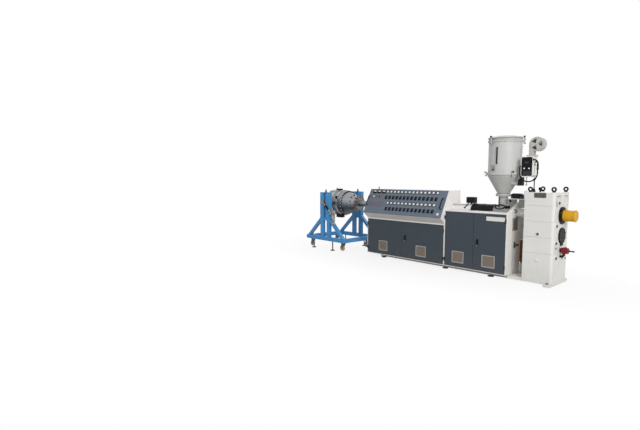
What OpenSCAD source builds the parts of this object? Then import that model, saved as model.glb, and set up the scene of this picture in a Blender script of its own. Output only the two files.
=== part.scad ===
// Single-screw plastic extruder with its control console, gearbox, hopper dryer and pipe die on a trolley.
// The screw runs along X at y = 0. The gearbox is at +X, the die at -X, the doors face -Y, the floor is z = 0.

/* [Screw and barrel] */
// Height of the screw axis above the floor
axis_z = 1120; // [1080:1:1180]
// Outer radius of the barrel
barrel_r = 75; // [60:1:85]
// Length of barrel that stands out of the console
barrel_out = 130; // [90:1:200]
// Outer radius of the heater bands
band_r = 100; // [92:1:106]
// Width of one heater band
band_w = 210; // [160:1:240]
// Number of heater bands along the barrel
band_n = 9; // [4:1:10]
// Outer radius of the half-round covers over the barrel
cover_r = 130; // [120:1:136]

/* [Cabinets] */
// Length of the main cabinet
cab_len = 1180; // [1000:1:1400]
// Length of the control console
con_len = 1943; // [1600:1:2200]
// Height of the main cabinet's top
cab_top = 1130; // [1100:1:1150]
// Height of the underside of both cabinets
cab_foot = 75; // [65:1:120]
// Distance from the screw axis to the front of the cabinets
body_front = 380; // [350:1:450]
// Distance from the screw axis to the back of the cabinets
body_back = 150; // [148:1:200]
// Thickness of the folded sheet walls
wall = 15; // [10:1:18]
// Depth of the electrical compartments
room_depth = 190; // [140:1:210]
// Height of the knee where the console's desk starts to lean out
knee_z = 858; // [780:1:900]
// How far the desk's lip stands in front of the doors
lip_out = 148; // [100:1:200]
// Height of the desk's lip
lip_z = 982; // [940:1:1000]
// How far the desk's crest lies behind the doors
crest_in = 109; // [80:1:150]
// Height of the console's top
con_top = 1482; // [1420:1:1560]

/* [Doors] */
// Width of the painted border round each door pair
border = 12; // [10:1:30]
// Thickness of a door leaf
door_t = 22; // [16:1:30]
// Running gap round a door leaf
door_gap = 5; // [5:0.5:8]
// Distance of the console's door seam from its right end
con_seam = 1000; // [800:1:1100]
// Distance of the main cabinet's door seam from its right end
cab_seam = 595; // [500:1:680]
// Radius of a hinge knuckle
knuckle_r = 9; // [7:0.5:12]
// Width of a ventilation grille
vent_w = 238; // [180:1:260]
// Height of a ventilation grille
vent_h = 215; // [160:1:240]

/* [Gearbox] */
// Gap between the main cabinet and the gearbox
gear_gap = 241; // [220:1:300]
// Length of the gearbox housing along the screw
gear_len = 456; // [400:1:520]
// Width of the gearbox housing
gear_w = 616; // [560:1:680]
// Height of the gearbox housing's top
gear_top = 1490; // [1440:1:1560]
// Height of the gearbox housing's underside
gear_foot = 30; // [20:1:60]
// Radius of the rounded upright edges of the gearbox
gear_round = 40; // [20:1:60]
// Radius of the thrust bearing housing
thrust_r = 205; // [180:1:220]
// Radius of the yellow screw end cap
cap_r = 92; // [70:1:110]
// Length of the yellow screw end cap
cap_len = 190; // [150:1:230]

/* [Hopper dryer] */
// Distance of the hopper axis from the main cabinet's right end
hopper_in = 255; // [245:1:265]
// Outer radius of the hopper cylinder
hopper_r = 270; // [240:1:285]
// Thickness of the hopper sheet
hopper_t = 6; // [4:0.5:10]
// Height of the feed throat above the screw axis
throat_h = 300; // [270:1:320]
// Height of the hopper cone
cone_h = 370; // [320:1:420]
// Height of the hopper cylinder
hopper_h = 560; // [460:1:620]
// Radius of the cone's outlet
outlet_r = 98; // [80:1:105]
// Radius of the blower's scroll where it starts
scroll_r = 112; // [100:1:125]

/* [Die and trolley] */
// Radius of the die body
die_r = 300; // [260:1:320]
// Length of the die body's full-size part
die_len = 443; // [380:1:520]
// Distance of the trestles from the screw axis
trestle_y = 550; // [520:1:620]
// Length of the trolley's base beams
trolley_len = 1340; // [1280:1:1500]
// Height of the trolley's beams above the floor
beam_z = 220; // [200:1:260]
// Width of a trolley beam
beam_w = 80; // [60:1:100]
// Height of a trolley beam
beam_h = 90; // [70:1:110]
// Height of the trestle heads
head_top = 1370; // [1340:1:1420]
// Radius of a caster wheel
wheel_r = 68; // [55:1:72]

/* [Hidden] */
$fn = 48;
eps = 1;
seat_gap = 0.3;

// Places along the screw, counted from the main cabinet's right wall
con_right = -cab_len;
con_left = con_right - con_len;
barrel_left = con_left - barrel_out;
gear_left = gear_gap;
gear_right = gear_left + gear_len;
gear_half = gear_w / 2;
ring_t = 25;
cap_right = gear_right + ring_t + cap_len;
feed_left = -390;
feed_right = -40;
neck_r = barrel_r + 3;
neck_gap = 8;
hopper_x = -hopper_in;

// Heights of the hopper's joints
throat_top = axis_z + throat_h;
cone_top = throat_top + cone_h;
rim_z = cone_top + hopper_h;

// The trough that holds the barrel
trough_half = 150;
trough_floor = axis_z - trough_half;
trough_roof = axis_z + trough_half;
trough_front = -140;
trough_back = body_back - wall;

// Die and trolley places
adapter_len = 510;
die_cone_len = 437;
trolley_in = 0.71;
cross_in = 60;
trail = 38;
adapter_left = barrel_left - adapter_len;
cone_left = adapter_left - die_cone_len;
die_left = cone_left - die_len;
trolley_mid = die_left + trolley_in * die_len;
trolley_left = trolley_mid - trolley_len / 2;
trolley_right = trolley_mid + trolley_len / 2;

// The whole machine is centred on the origin along X
left_end = trolley_left + cross_in - trail - wheel_r;
mid_x = (left_end + cap_right) / 2;

white = "whitesmoke";
slate = "slategray";
steel = "silver";
dark = "dimgray";
black = "black";
blue = "dodgerblue";
grey = "lightgray";

module place() {
    translate([-mid_x, 0, 0]) children();
}

// A box between two corners
module block(a, b) {
    translate(a) cube(b - a);
}

// A cylinder along X from x0 to x1
module rod_x(x0, x1, r, y = 0, z = axis_z) {
    translate([x0, y, z]) rotate([0, 90, 0]) cylinder(h = x1 - x0, r = r);
}

// A cylinder along Y from y0 to y1
module rod_y(y0, y1, r, x = 0, z = 0) {
    translate([x, y0, z]) rotate([-90, 0, 0]) cylinder(h = y1 - y0, r = r);
}

// A cylinder along Z from z0 to z1
module rod_z(z0, z1, r, x = 0, y = 0) {
    translate([x, y, z0]) cylinder(h = z1 - z0, r = r);
}

// A ring along X between the radii r0 and r1
module ring_x(x0, x1, r0, r1) {
    difference() {
        rod_x(x0, x1, r1);
        rod_x(x0 - eps, x1 + eps, r0);
    }
}

// A (y, z) outline extruded along X from x0 to x1
module slab_x(x0, x1, points) {
    translate([x0, 0, 0]) rotate([90, 0, 90]) linear_extrude(x1 - x0) polygon(points);
}

// An (x, z) outline extruded along Y from y0 to y1
module slab_y(y0, y1, points) {
    translate([0, y1, 0]) rotate([90, 0, 0]) linear_extrude(y1 - y0) polygon(points);
}

// A bent tube in the XZ plane: centre of the bend, its radius, the tube's radius, start and sweep angles
module bend_xz(c, bend, r, start, sweep) {
    translate(c) rotate([90, 0, 0]) rotate([0, 0, start]) rotate_extrude(angle = sweep) translate([bend, 0]) circle(r = r);
}

// A flat rectangle with round corners, centred
module round_rect(w, d, r) {
    square([w - 2 * r, d], center = true);
    square([w, d - 2 * r], center = true);
    for (x = [r - w / 2, w / 2 - r])
        for (y = [r - d / 2, d / 2 - r])
            translate([x, y]) circle(r = r);
}

// Base frame with the bed and the plinth that carries the coupling guard, and the feet
guard_front = 148;
guard_back = 292;
plinth_h = 156;
plinth_in = 6;
skid_z = 30;
skid_rail = 70;
skid_in = 333;
skid_inset = 20;
skid_bays = 7;
plinth_top = cab_foot + plinth_h;
skid_left = con_left + skid_in;
skid_front = -gear_half;
skid_back = body_back - skid_inset;

module base_frame() {
    pitch = (-skid_left - skid_rail) / skid_bays;
    color(white) place() {
        block([skid_left, skid_front, skid_z], [eps, skid_front + skid_rail, cab_foot]);
        block([skid_left, skid_back - skid_rail, skid_z], [eps, skid_back, cab_foot]);
        for (i = [0 : skid_bays])
            block([skid_left + i * pitch, skid_front + eps, skid_z],
                  [skid_left + i * pitch + skid_rail, skid_back - eps, cab_foot]);
        block([0, -gear_half, skid_z], [gear_left, gear_half, cab_foot]);
        block([plinth_in, guard_front - plinth_in, cab_foot - eps],
              [gear_left, guard_back + plinth_in, plinth_top]);
    }
}

foot_r = 55;
foot_pad = 12;
foot_cone = 14;
foot_step = 12;
foot_stud_r = 14;
foot_nut = 6;
foot_left = 60;
foot_mid = 25;
foot_right = 300;
jack_left = 230;
jack_right = 430;

module levelling_foot(h) {
    cylinder(h = foot_pad, r = foot_r);
    translate([0, 0, foot_pad]) cylinder(h = foot_cone, r1 = foot_r - foot_step, r2 = foot_stud_r + foot_nut);
    cylinder(h = h, r = foot_stud_r);
}

// Six feet under the base frame and four jacks under the trolley
module levelling_feet() {
    color(dark) place() {
        for (x = [skid_left + foot_left, con_right - foot_mid, -foot_right])
            for (y = [skid_front + skid_rail / 2, skid_back - skid_rail / 2])
                translate([x, y, 0]) levelling_foot(skid_z);
        for (x = [trolley_left + jack_left, trolley_right - jack_right])
            for (y = [-trestle_y, trestle_y])
                translate([x, y, 0]) levelling_foot(beam_z);
    }
}

// Console desk: the panel lies on a slope that is set back by the panel's thickness
panel_t = 14;
lip_y = -body_front - lip_out;
crest_y = -body_front + crest_in;
desk_rise = con_top - lip_z;
desk_run = crest_y - lip_y;
desk_tilt = atan2(desk_run, desk_rise);
lean_rise = lip_z - knee_z;
lip_cut = panel_t / (lip_out * cos(desk_tilt) + lean_rise * sin(desk_tilt));
seat_lip = [lip_y + lip_cut * lip_out, lip_z - lip_cut * lean_rise];
seat_crest = [crest_y + panel_t / cos(desk_tilt), con_top];

con_door_z0 = cab_foot + border;
con_door_z1 = knee_z - 2 * border;
cab_door_z1 = cab_top - 2 * border;
stop_lip = 18;
recess = door_t + door_gap;
barrel_gap = 12;

// The opening behind a pair of doors: the recess for the leaves and the room behind it
module door_opening(x0, x1, z0, z1) {
    block([x0, -body_front - eps, z0], [x1, -body_front + recess, z1]);
    block([x0 + stop_lip, -body_front, z0 + stop_lip],
          [x1 - stop_lip, -body_front + recess + room_depth, z1 - stop_lip]);
}

// Moves its children onto the desk: x along the console, y up the slope, z out of the panel
module on_desk() {
    translate([0, lip_y, lip_z]) rotate([90 - desk_tilt, 0, 0]) children();
}

module console_body() {
    color(white) place() difference() {
        slab_x(con_left, con_right, [
            [-body_front, cab_foot],
            [body_back, cab_foot],
            [body_back, con_top],
            seat_crest,
            seat_lip,
            [-body_front, knee_z]
        ]);
        door_opening(con_left + border, con_right - border, con_door_z0, con_door_z1);
        block([con_left + wall, trough_front, trough_floor], [con_right + eps, trough_back, trough_roof]);
        rod_x(con_left - eps, con_left + wall + eps, band_r + barrel_gap);
    }
}

module console_panel() {
    color(slate) place() slab_x(con_left, con_right, [[lip_y, lip_z], [crest_y, con_top], seat_crest, seat_lip]);
}

// Instruments on the desk: two rows of displays with a switch below each, and three meters at the left
row_n = 14;
row_pitch = 94.5;
row_in = 208;
row_up = 503;
row_drop = 259;
display_w = 50;
display_h = 46;
display_t = 8;
switch_w = 52;
switch_h = 70;
switch_t = 8;
switch_drop = 128;
dial_r = 15;
dial_t = 20;
meter_n = 3;
meter_w = 88;
meter_h = 76;
meter_in = 145;
meter_pitch = 126;

function row_x(i) = con_right - row_in - i * row_pitch;

// Repeats its children at each place of both rows, the lower row one place shorter
module on_rows(drop) {
    for (k = [0, 1])
        for (i = [0 : row_n - 1 - k])
            translate([row_x(i), row_up - k * row_drop - drop, 0]) children();
}

module tile(w, h, t) {
    translate([-w / 2, -h / 2, 0]) cube([w, h, t]);
}

module panel_displays() {
    color("white") place() on_desk() on_rows(0) tile(display_w, display_h, display_t);
}

module panel_switches() {
    color(black) place() on_desk() {
        on_rows(switch_drop) {
            tile(switch_w, switch_h, switch_t);
            cylinder(h = dial_t, r = dial_r);
        }
        for (i = [0 : meter_n - 1])
            translate([con_left + meter_in + i * meter_pitch, row_up, 0]) tile(meter_w, meter_h, switch_t);
    }
}

bow_len = 215;
bow_h = 45;
bow_r = 10;
bow_bend = 24;
bow_in = 48;
bow_up = 280;

// A bow handle lying along y, its feet on z = 0
module bow_handle() {
    half = bow_len / 2 - bow_bend;
    for (s = [0, 1])
        mirror([0, s, 0]) translate([0, half, 0]) {
            translate([0, bow_bend, 0]) cylinder(h = bow_h - bow_bend, r = bow_r);
            translate([0, 0, bow_h - bow_bend]) rotate([90, 0, 90])
                rotate_extrude(angle = 90) translate([bow_bend, 0]) circle(r = bow_r);
            translate([0, 0, bow_h]) rotate([90, 0, 0]) cylinder(h = half, r = bow_r);
        }
}

module panel_bow_handles() {
    color(black) place() on_desk()
        for (x = [con_left + bow_in, con_right - bow_in])
            translate([x, bow_up, 0]) bow_handle();
}

module cabinet_body() {
    color(white) place() difference() {
        block([con_right, -body_front, cab_foot], [0, body_back, cab_top]);
        door_opening(con_right + border, -border, con_door_z0, cab_door_z1);
        block([con_right - eps, trough_front, trough_floor], [-wall, trough_back, cab_top + eps]);
        rod_x(-wall - eps, eps, neck_r + neck_gap);
    }
}

// Doors
hinge_h = 60;
hinge_in = 110;
leaf_t = 3;
hinge_y = -body_front - knuckle_r - seat_gap;
vent_rim = 16;
vent_proud = 5;
vent_blades = 9;
blade_t = 4;
blade_in = 4;

// One door leaf between x0 and x1, with its moving hinge halves on the side of sign hinge
module door_leaf(x0, x1, z0, z1, hinge, vent_x, vent_z) {
    edge = hinge < 0 ? x0 : x1;
    axis_x = edge + hinge * door_gap / 2;
    difference() {
        block([x0, -body_front, z0], [x1, -body_front + door_t, z1]);
        block([vent_x - vent_w / 2 + vent_rim, -body_front - eps, vent_z - vent_h / 2 + vent_rim],
              [vent_x + vent_w / 2 - vent_rim, -body_front + door_t + eps, vent_z + vent_h / 2 - vent_rim]);
    }
    translate([vent_x, -body_front, vent_z]) vent_grille();
    for (z = [z0 + hinge_in, z1 - hinge_in]) {
        rod_z(z - hinge_h / 2, z - seat_gap, knuckle_r, axis_x, hinge_y);
        translate([axis_x, -body_front - leaf_t, z - hinge_h / 2])
            mirror([hinge > 0 ? 1 : 0, 0, 0]) cube([3 * knuckle_r + door_gap, leaf_t, hinge_h / 2 - seat_gap]);
    }
}

// A raised frame with a row of slanted blades across the hole in the sheet
module vent_grille() {
    inner_h = vent_h - 2 * vent_rim;
    inner_w = vent_w - 2 * vent_rim;
    pitch = inner_h / vent_blades;
    lean = pitch * 0.45;
    difference() {
        block([-vent_w / 2, -vent_proud, -vent_h / 2], [vent_w / 2, 0, vent_h / 2]);
        block([-inner_w / 2, -vent_proud - eps, -inner_h / 2], [inner_w / 2, eps, inner_h / 2]);
    }
    for (i = [0 : vent_blades - 1])
        translate([0, 0, -inner_h / 2 + (i + 0.5) * pitch])
            slab_x(-inner_w / 2 - eps, inner_w / 2 + eps, [
                [-eps, -lean],
                [blade_t - eps, -lean],
                [door_t - blade_in, lean],
                [door_t - blade_in - blade_t, lean]
            ]);
}

handle_w = 28;
handle_h = 125;
handle_t = 22;

// A flush swing handle: base plate with round ends and a lever on it
module swing_handle() {
    rotate([90, 0, 0]) {
        linear_extrude(handle_t / 3) round_rect(handle_w, handle_h, handle_w / 3);
        translate([0, handle_h * 0.1, 0]) linear_extrude(handle_t)
            round_rect(handle_w * 0.6, handle_h * 0.7, handle_w * 0.2);
    }
}

con_seam_x = con_right - con_seam;
cab_seam_x = -cab_seam;
door_z0 = con_door_z0 + door_gap;
con_door_top = con_door_z1 - door_gap;
cab_door_top = cab_door_z1 - door_gap;
con_hinge_l = con_left + border + door_gap;
con_hinge_r = con_right - border - door_gap;
cab_hinge_l = con_right + border + door_gap;
cab_hinge_r = -border - door_gap;
vent_z = 273;
con_vent_l = 441;
con_vent_r = 500;
cab_vent_l = 276;
cab_vent_r = 286;
con_handle_in = 90;
con_handle_z = 495;
cab_handle_in = 80;
cab_handle_z = 580;

module console_door_left() {
    color(slate) place()
        door_leaf(con_hinge_l, con_seam_x - door_gap / 2, door_z0, con_door_top, -1, con_hinge_l + con_vent_l, vent_z);
}

module console_door_right() {
    color(slate) place() {
        door_leaf(con_seam_x + door_gap / 2, con_hinge_r, door_z0, con_door_top, 1, con_hinge_r - con_vent_r, vent_z);
        translate([con_seam_x + con_handle_in, -body_front, con_handle_z]) swing_handle();
    }
}

module cabinet_door_left() {
    color(slate) place()
        door_leaf(cab_hinge_l, cab_seam_x - door_gap / 2, door_z0, cab_door_top, -1, cab_hinge_l + cab_vent_l, vent_z);
}

module cabinet_door_right() {
    color(slate) place() {
        door_leaf(cab_seam_x + door_gap / 2, cab_hinge_r, door_z0, cab_door_top, 1, cab_hinge_r - cab_vent_r, vent_z);
        translate([cab_seam_x + cab_handle_in, -body_front, cab_handle_z]) swing_handle();
    }
}

// Fixed hinge halves on the cabinet border beside the door edge at x
module fixed_hinges(x, hinge, z1) {
    axis_x = x + hinge * door_gap / 2;
    for (z = [door_z0 + hinge_in, z1 - hinge_in]) {
        rod_z(z + seat_gap, z + hinge_h / 2, knuckle_r, axis_x, hinge_y);
        translate([axis_x, -body_front - leaf_t, z + seat_gap])
            mirror([hinge > 0 ? 0 : 1, 0, 0]) cube([border - door_gap, leaf_t, hinge_h / 2 - seat_gap]);
    }
}

module door_hinges() {
    color(black) place() {
        fixed_hinges(con_hinge_l, -1, con_door_top);
        fixed_hinges(con_hinge_r, 1, con_door_top);
        fixed_hinges(cab_hinge_l, -1, cab_door_top);
        fixed_hinges(cab_hinge_r, 1, cab_door_top);
    }
}

// Right wall fittings: a framed mesh and the main isolator with its lever
side_vent_y = -90;
side_vent_z = 930;
side_vent_w = 184;

module side_vent() {
    inner_w = side_vent_w - 2 * vent_rim;
    inner_h = vent_h - 2 * vent_rim;
    pitch = inner_h / vent_blades;
    color(white) place() translate([0, side_vent_y, side_vent_z]) rotate([0, 0, 90]) difference() {
        block([-side_vent_w / 2, -2 * vent_proud, -vent_h / 2], [side_vent_w / 2, 0, vent_h / 2]);
        for (i = [0 : vent_blades - 1])
            block([-inner_w / 2, -2 * vent_proud - eps, -inner_h / 2 + i * pitch],
                  [inner_w / 2, -vent_proud, -inner_h / 2 + (i + 0.6) * pitch]);
    }
}

switch_y = -84;
switch_z = 570;
switch_plate = 10;
switch_half_w = 22;
switch_half_h = 52;
boss_r = 20;
boss_t = 14;
lever_w = 20;
lever_t = 14;
lever_len = 95;

module isolator_base() {
    color(dark) place()
        block([0, switch_y - switch_half_w, switch_z - switch_half_h],
              [switch_plate, switch_y + switch_half_w, switch_z + switch_half_h]);
}

module isolator_lever() {
    color(dark) place() translate([switch_plate + seat_gap, switch_y, switch_z]) rotate([0, 90, 0]) {
        cylinder(h = boss_t + lever_t, r = boss_r);
        translate([-lever_w / 2, 0, boss_t]) cube([lever_w, lever_len, lever_t]);
    }
}

// Barrel with the joint flange at its die end
joint_t = 50;
joint_out = 70;
joint_r = barrel_r + joint_out;

module barrel() {
    color(steel) place() {
        rod_x(barrel_left, feed_left, barrel_r);
        rod_x(barrel_left - joint_t, barrel_left, joint_r);
    }
}

band_gap = 40;
band_in = 60;
die_band_t = 14;
die_band_in = 20;
die_band_clear = 58;
die_band_end = 12;
die_band_gap = 10;
band_first = feed_left - band_gap;
band_pitch = (band_first - con_left - band_in) / band_n;

// Two heater bands side by side on the die body between x0 and x1
module die_bands(x0, x1) {
    w = (x1 - x0 - die_band_gap) / 2;
    ring_x(x0, x0 + w, die_r + seat_gap, die_r + die_band_t);
    ring_x(x1 - w, x1, die_r + seat_gap, die_r + die_band_t);
}

module heater_bands() {
    color("saddlebrown") place() {
        for (i = [0 : band_n - 1])
            ring_x(band_first - i * band_pitch - band_w, band_first - i * band_pitch, barrel_r + seat_gap, band_r);
        die_bands(die_left + die_band_in, trolley_mid - die_band_clear);
        ring_x(trolley_mid + die_band_clear, cone_left - die_band_end, die_r + seat_gap, die_r + die_band_t);
    }
}

// Half-round covers over the barrel
cover_left = -800;
cover_right = -397;
cover_gap = 12;
guard_in = 15;
guard_right = cover_left - cover_gap;
guard_r = cover_r - guard_in;
cover_t = 8;
cover_foot = 25;
strap_w = 22;
strap_t = 3;

module half_cover(x0, x1, r) {
    difference() {
        union() {
            rod_x(x0, x1, r);
            for (x = [x0, (x0 + x1 - strap_w) / 2, x1 - strap_w])
                rod_x(x, x + strap_w, r + strap_t);
            block([x0, trough_front - cover_foot, cab_top], [x1, body_back, cab_top + cover_t]);
        }
        rod_x(x0 - eps, x1 + eps, r - cover_t);
        block([x0 - eps, trough_front - cover_foot - eps, axis_z - r - cover_foot], [x1 + eps, body_back + eps, cab_top]);
    }
}

module heater_cover() {
    color(black) place() half_cover(cover_left, cover_right, cover_r);
}

shield_front = 350;
shield_low = 17;
shield_high = 185;
shield_crest = 60;

// The guard next to the console and the sloping end shield over the right wall
module barrel_guard() {
    color(white) place() {
        half_cover(con_right, guard_right, guard_r);
        difference() {
            slab_x(-wall, 0, [
                [-shield_front, cab_top],
                [body_back, cab_top],
                [body_back, cab_top + shield_high],
                [shield_crest, cab_top + shield_high],
                [-shield_front, cab_top + shield_low]
            ]);
            rod_x(-wall - eps, eps, neck_r + neck_gap);
        }
    }
}

term_left = -940;
term_right = -770;
term_d = 126;
term_round = 26;
term_up = 18;
term_h = 103;
term_leg = 14;
guard_crest = axis_z + guard_r + strap_t;

// A box with round upright edges that stands on a foot over the guard
module terminal_box() {
    color(black) place() translate([(term_left + term_right) / 2, 0, guard_crest]) {
        translate([0, 0, term_up]) linear_extrude(term_h)
            round_rect(term_right - term_left, term_d, term_round);
        translate([-term_leg, -term_leg, seat_gap]) cube([2 * term_leg, 2 * term_leg, term_up]);
    }
}

// Feed section with the round throat, thrust housing and coupling guard
feed_r = 100;
feed_flange_r = 114;
feed_flange_t = 26;
throat_r = 75;
throat_flange_r = 125;
throat_flange_t = 22;

module feed_section() {
    color(steel) place() difference() {
        union() {
            rod_x(feed_left, feed_right, feed_r);
            rod_x(feed_left, feed_left + feed_flange_t, feed_flange_r);
            rod_x(feed_right - feed_flange_t, feed_right, feed_flange_r);
            rod_z(axis_z, throat_top, throat_r, hopper_x, 0);
            rod_z(throat_top - throat_flange_t, throat_top, throat_flange_r, hopper_x, 0);
        }
        rod_z(axis_z, throat_top + eps, outlet_r / 2, hopper_x, 0);
    }
}

thrust_len = 56;
thrust_flange_t = 16;
thrust_flange_r = 150;
thrust_left = gear_left - thrust_len;
web_half = 45;
web_z = 600;

module thrust_housing() {
    color(white) place() {
        rod_x(feed_right, thrust_left, neck_r);
        rod_x(thrust_left, thrust_left + thrust_flange_t, thrust_flange_r);
        rod_x(thrust_left + thrust_flange_t, gear_left, thrust_r);
        block([thrust_left + thrust_flange_t, -web_half, web_z], [gear_left, web_half, axis_z]);
    }
}

guard_h = 410;
guard_inset = 12;

// A tall sheet cover with a round top over the drive coupling
module coupling_guard() {
    r = (guard_back - guard_front) / 2;
    top = plinth_top + guard_h - r;
    color("chocolate") place() {
        block([guard_inset, guard_front, plinth_top], [gear_left - guard_inset, guard_back, top]);
        rod_x(guard_inset, gear_left - guard_inset, r, guard_front + r, top);
    }
}

// Gearbox: a cast housing with a rounded end, ribs, feet with anchor holes and two pockets in its end face
rib_h = 14;
rib_out = 4;
rib_n = 4;
rib_first = 530;
rib_pitch = 251;
foot_lug = 60;
lug_h = 50;
anchor_r = 11;
anchor_in = 50;
pocket_depth = 40;
pocket_z0 = 230;
pocket_z1 = 52;
pocket_w = 200;
pocket_y = 165;
pocket_shift = 20;

module gear_column(z0, z1, grow) {
    w = gear_w + 2 * grow;
    translate([(gear_left + gear_right) / 2, 0, z0]) linear_extrude(z1 - z0) {
        round_rect(gear_len, w, gear_round);
        translate([-gear_len / 2, -w / 2]) square([gear_len / 2, w]);
    }
}

module gearbox_housing() {
    color(white) place() difference() {
        union() {
            gear_column(gear_foot, gear_top, 0);
            for (i = [0 : rib_n - 1])
                gear_column(rib_first + i * rib_pitch - rib_h / 2, rib_first + i * rib_pitch + rib_h / 2, rib_out);
            block([gear_right - 2 * anchor_in, -gear_half - foot_lug, 0],
                  [gear_right, gear_half + foot_lug, lug_h]);
        }
        for (y = [-gear_half - foot_lug / 2, gear_half + foot_lug / 2])
            rod_z(-eps, lug_h + eps, anchor_r, gear_right - anchor_in, y);
        for (y = [pocket_shift - pocket_y, pocket_shift + pocket_y])
            block([gear_right - pocket_depth, y - pocket_w / 2, gear_top - pocket_z0],
                  [gear_right + eps, y + pocket_w / 2, gear_top - pocket_z1]);
    }
}

ring_out = 45;
low_cover_y = 20;
low_cover_z = 795;
low_cover_r = 128;
low_cover_t = 22;
low_lug_w = 34;
low_lug_h = 30;
breather_x = 185;
breather_y = 180;
breather_r = 12;
breather_h = 30;
breather_cap_r = 24;
breather_cap_h = 35;

// The ring behind the end cap, the lower shaft cover and the breather on the top
module gearbox_covers() {
    color(black) place() {
        rod_x(gear_right, gear_right + ring_t, cap_r + ring_out);
        rod_x(gear_right, gear_right + low_cover_t, low_cover_r, low_cover_y, low_cover_z);
        block([gear_right, low_cover_y - low_lug_w, low_cover_z - low_cover_r - low_lug_h],
              [gear_right + low_cover_t, low_cover_y + low_lug_w, low_cover_z - low_cover_r + low_lug_h]);
        rod_z(gear_top, gear_top + breather_h, breather_r, gear_left + breather_x, -breather_y);
        rod_z(gear_top + breather_h, gear_top + breather_h + breather_cap_h, breather_cap_r,
              gear_left + breather_x, -breather_y);
    }
}

cap_lip = 16;
cap_lip_out = 4;
cap_edge = 12;

module screw_end_cap() {
    color("gold") place() translate([gear_right + ring_t, 0, axis_z]) rotate([0, 90, 0]) rotate_extrude() polygon([
        [0, 0],
        [cap_r, 0],
        [cap_r - cap_lip_out, cap_len * 0.6],
        [cap_r - cap_lip_out, cap_len - 2 * cap_lip],
        [cap_r + cap_lip_out, cap_len - cap_lip],
        [cap_r + cap_lip_out - cap_edge, cap_len],
        [0, cap_len]
    ]);
}

pump_z = 560;
pump_r = 48;
pump_in = 26;
pump_len = 96;
pump_plate = 54;
pump_plate_t = 22;
pump_plate_x = 30;
bell_r = 34;
suction_r = 17;
suction_x = 62;
suction_bend = 46;
boss_half = 24;
pipe_r = 10;
pipe_len = 86;

module oil_pump() {
    x0 = gear_right + pump_in;
    color("firebrick") place() {
        rod_x(x0, x0 + pump_len, pump_r, 0, pump_z);
        block([x0 + pump_plate_x, -pump_plate, pump_z - pump_plate],
              [x0 + pump_plate_x + pump_plate_t, pump_plate, pump_z + pump_plate]);
        block([gear_right + suction_x - boss_half, -boss_half, pump_z - pump_plate],
              [gear_right + suction_x + boss_half, boss_half, pump_z]);
    }
}

// Mounting bell, suction elbow and delivery pipe of the oil pump
module oil_pipes() {
    bend_z = pump_z - pump_plate;
    bend_x = gear_right + suction_x - suction_bend;
    color(black) place() {
        rod_x(gear_right, gear_right + pump_in, bell_r, 0, pump_z);
        bend_xz([bend_x, 0, bend_z], suction_bend, suction_r, -90, 90);
        rod_x(gear_right, bend_x, suction_r, 0, bend_z - suction_bend);
        rod_x(gear_right + pump_in + pump_len, gear_right + pump_in + pump_len + pipe_len, pipe_r, 0, pump_z);
    }
}

eye_r = 32;
eye_tube = 9;
eye_in = 60;
eye_end = 40;
eye_base_r = 24;
eye_base_h = 14;

module lifting_eyes() {
    color(black) place()
        for (x = [gear_left + eye_in, gear_right - eye_end])
            for (y = [-gear_half + eye_in, gear_half - eye_in])
                translate([x, y, gear_top]) {
                    cylinder(h = eye_base_h, r = eye_base_r);
                    translate([0, 0, eye_base_h + eye_r]) rotate([90, 0, 0])
                        rotate_extrude() translate([eye_r, 0]) circle(r = eye_tube);
                }
}

// Hopper: cone, cylinder and lid are sheet shells that meet at flanges
cone_flange = 14;
flange_t = 22;
outlet_lip = 30;
cone_base = throat_top + flange_t;
cone_end = cone_top - 2 * flange_t;
rim_out = 14;
rim_h = 15;

// Place and size of the dryer box and of the boot below it, which the cone's nozzle reaches
box_x = 193;
box_y = -80;
box_w = 192;
box_d = 165;
box_h = 340;
box_drop = 60;
box_taper = 28;
box_z0 = cone_top - box_drop;
box_z1 = box_z0 + box_h;
box_left = box_x - box_w / 2;
box_right = box_x + box_w / 2;
box_front = box_y - box_d / 2;
boot_low = 142;
boot_left = 74;
boot_right = 11;
boot_side = 66;
boot_half = 40;

nozzle_r = 28;
nozzle_end = box_left - boot_left - seat_gap;
nozzle_z = box_z0 - boot_low + boot_side / 2;

// The space inside the sloping part of the cone
module cone_space() {
    translate([hopper_x, 0, cone_base])
        cylinder(h = cone_end - cone_base, r1 = outlet_r - hopper_t, r2 = hopper_r - hopper_t);
}

// The cone with its outlet flange, its joint flange and the hot air nozzle
module hopper_cone() {
    color(grey) place() {
        translate([hopper_x, 0, 0]) rotate_extrude() polygon([
            [outlet_r - hopper_t, throat_top],
            [outlet_r + outlet_lip, throat_top],
            [outlet_r + outlet_lip, cone_base],
            [outlet_r, cone_base],
            [hopper_r, cone_end],
            [hopper_r, cone_top - flange_t],
            [hopper_r + cone_flange, cone_top - flange_t],
            [hopper_r + cone_flange, cone_top],
            [hopper_r - hopper_t, cone_top],
            [hopper_r - hopper_t, cone_end],
            [outlet_r - hopper_t, cone_base]
        ]);
        difference() {
            rod_x(hopper_x, nozzle_end, nozzle_r, box_y, nozzle_z);
            cone_space();
        }
    }
}

module hopper_cylinder() {
    color(grey) place() translate([hopper_x, 0, 0]) rotate_extrude() polygon([
        [hopper_r - hopper_t, cone_top],
        [hopper_r + cone_flange, cone_top],
        [hopper_r + cone_flange, cone_top + flange_t],
        [hopper_r, cone_top + flange_t],
        [hopper_r, rim_z - rim_h],
        [hopper_r + rim_out, rim_z - rim_h],
        [hopper_r + rim_out, rim_z],
        [hopper_r - hopper_t, rim_z]
    ]);
}

lid_band = 32;
lid_ring = 16;
lid_dome = 22;
lid_slope = 50;

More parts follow.
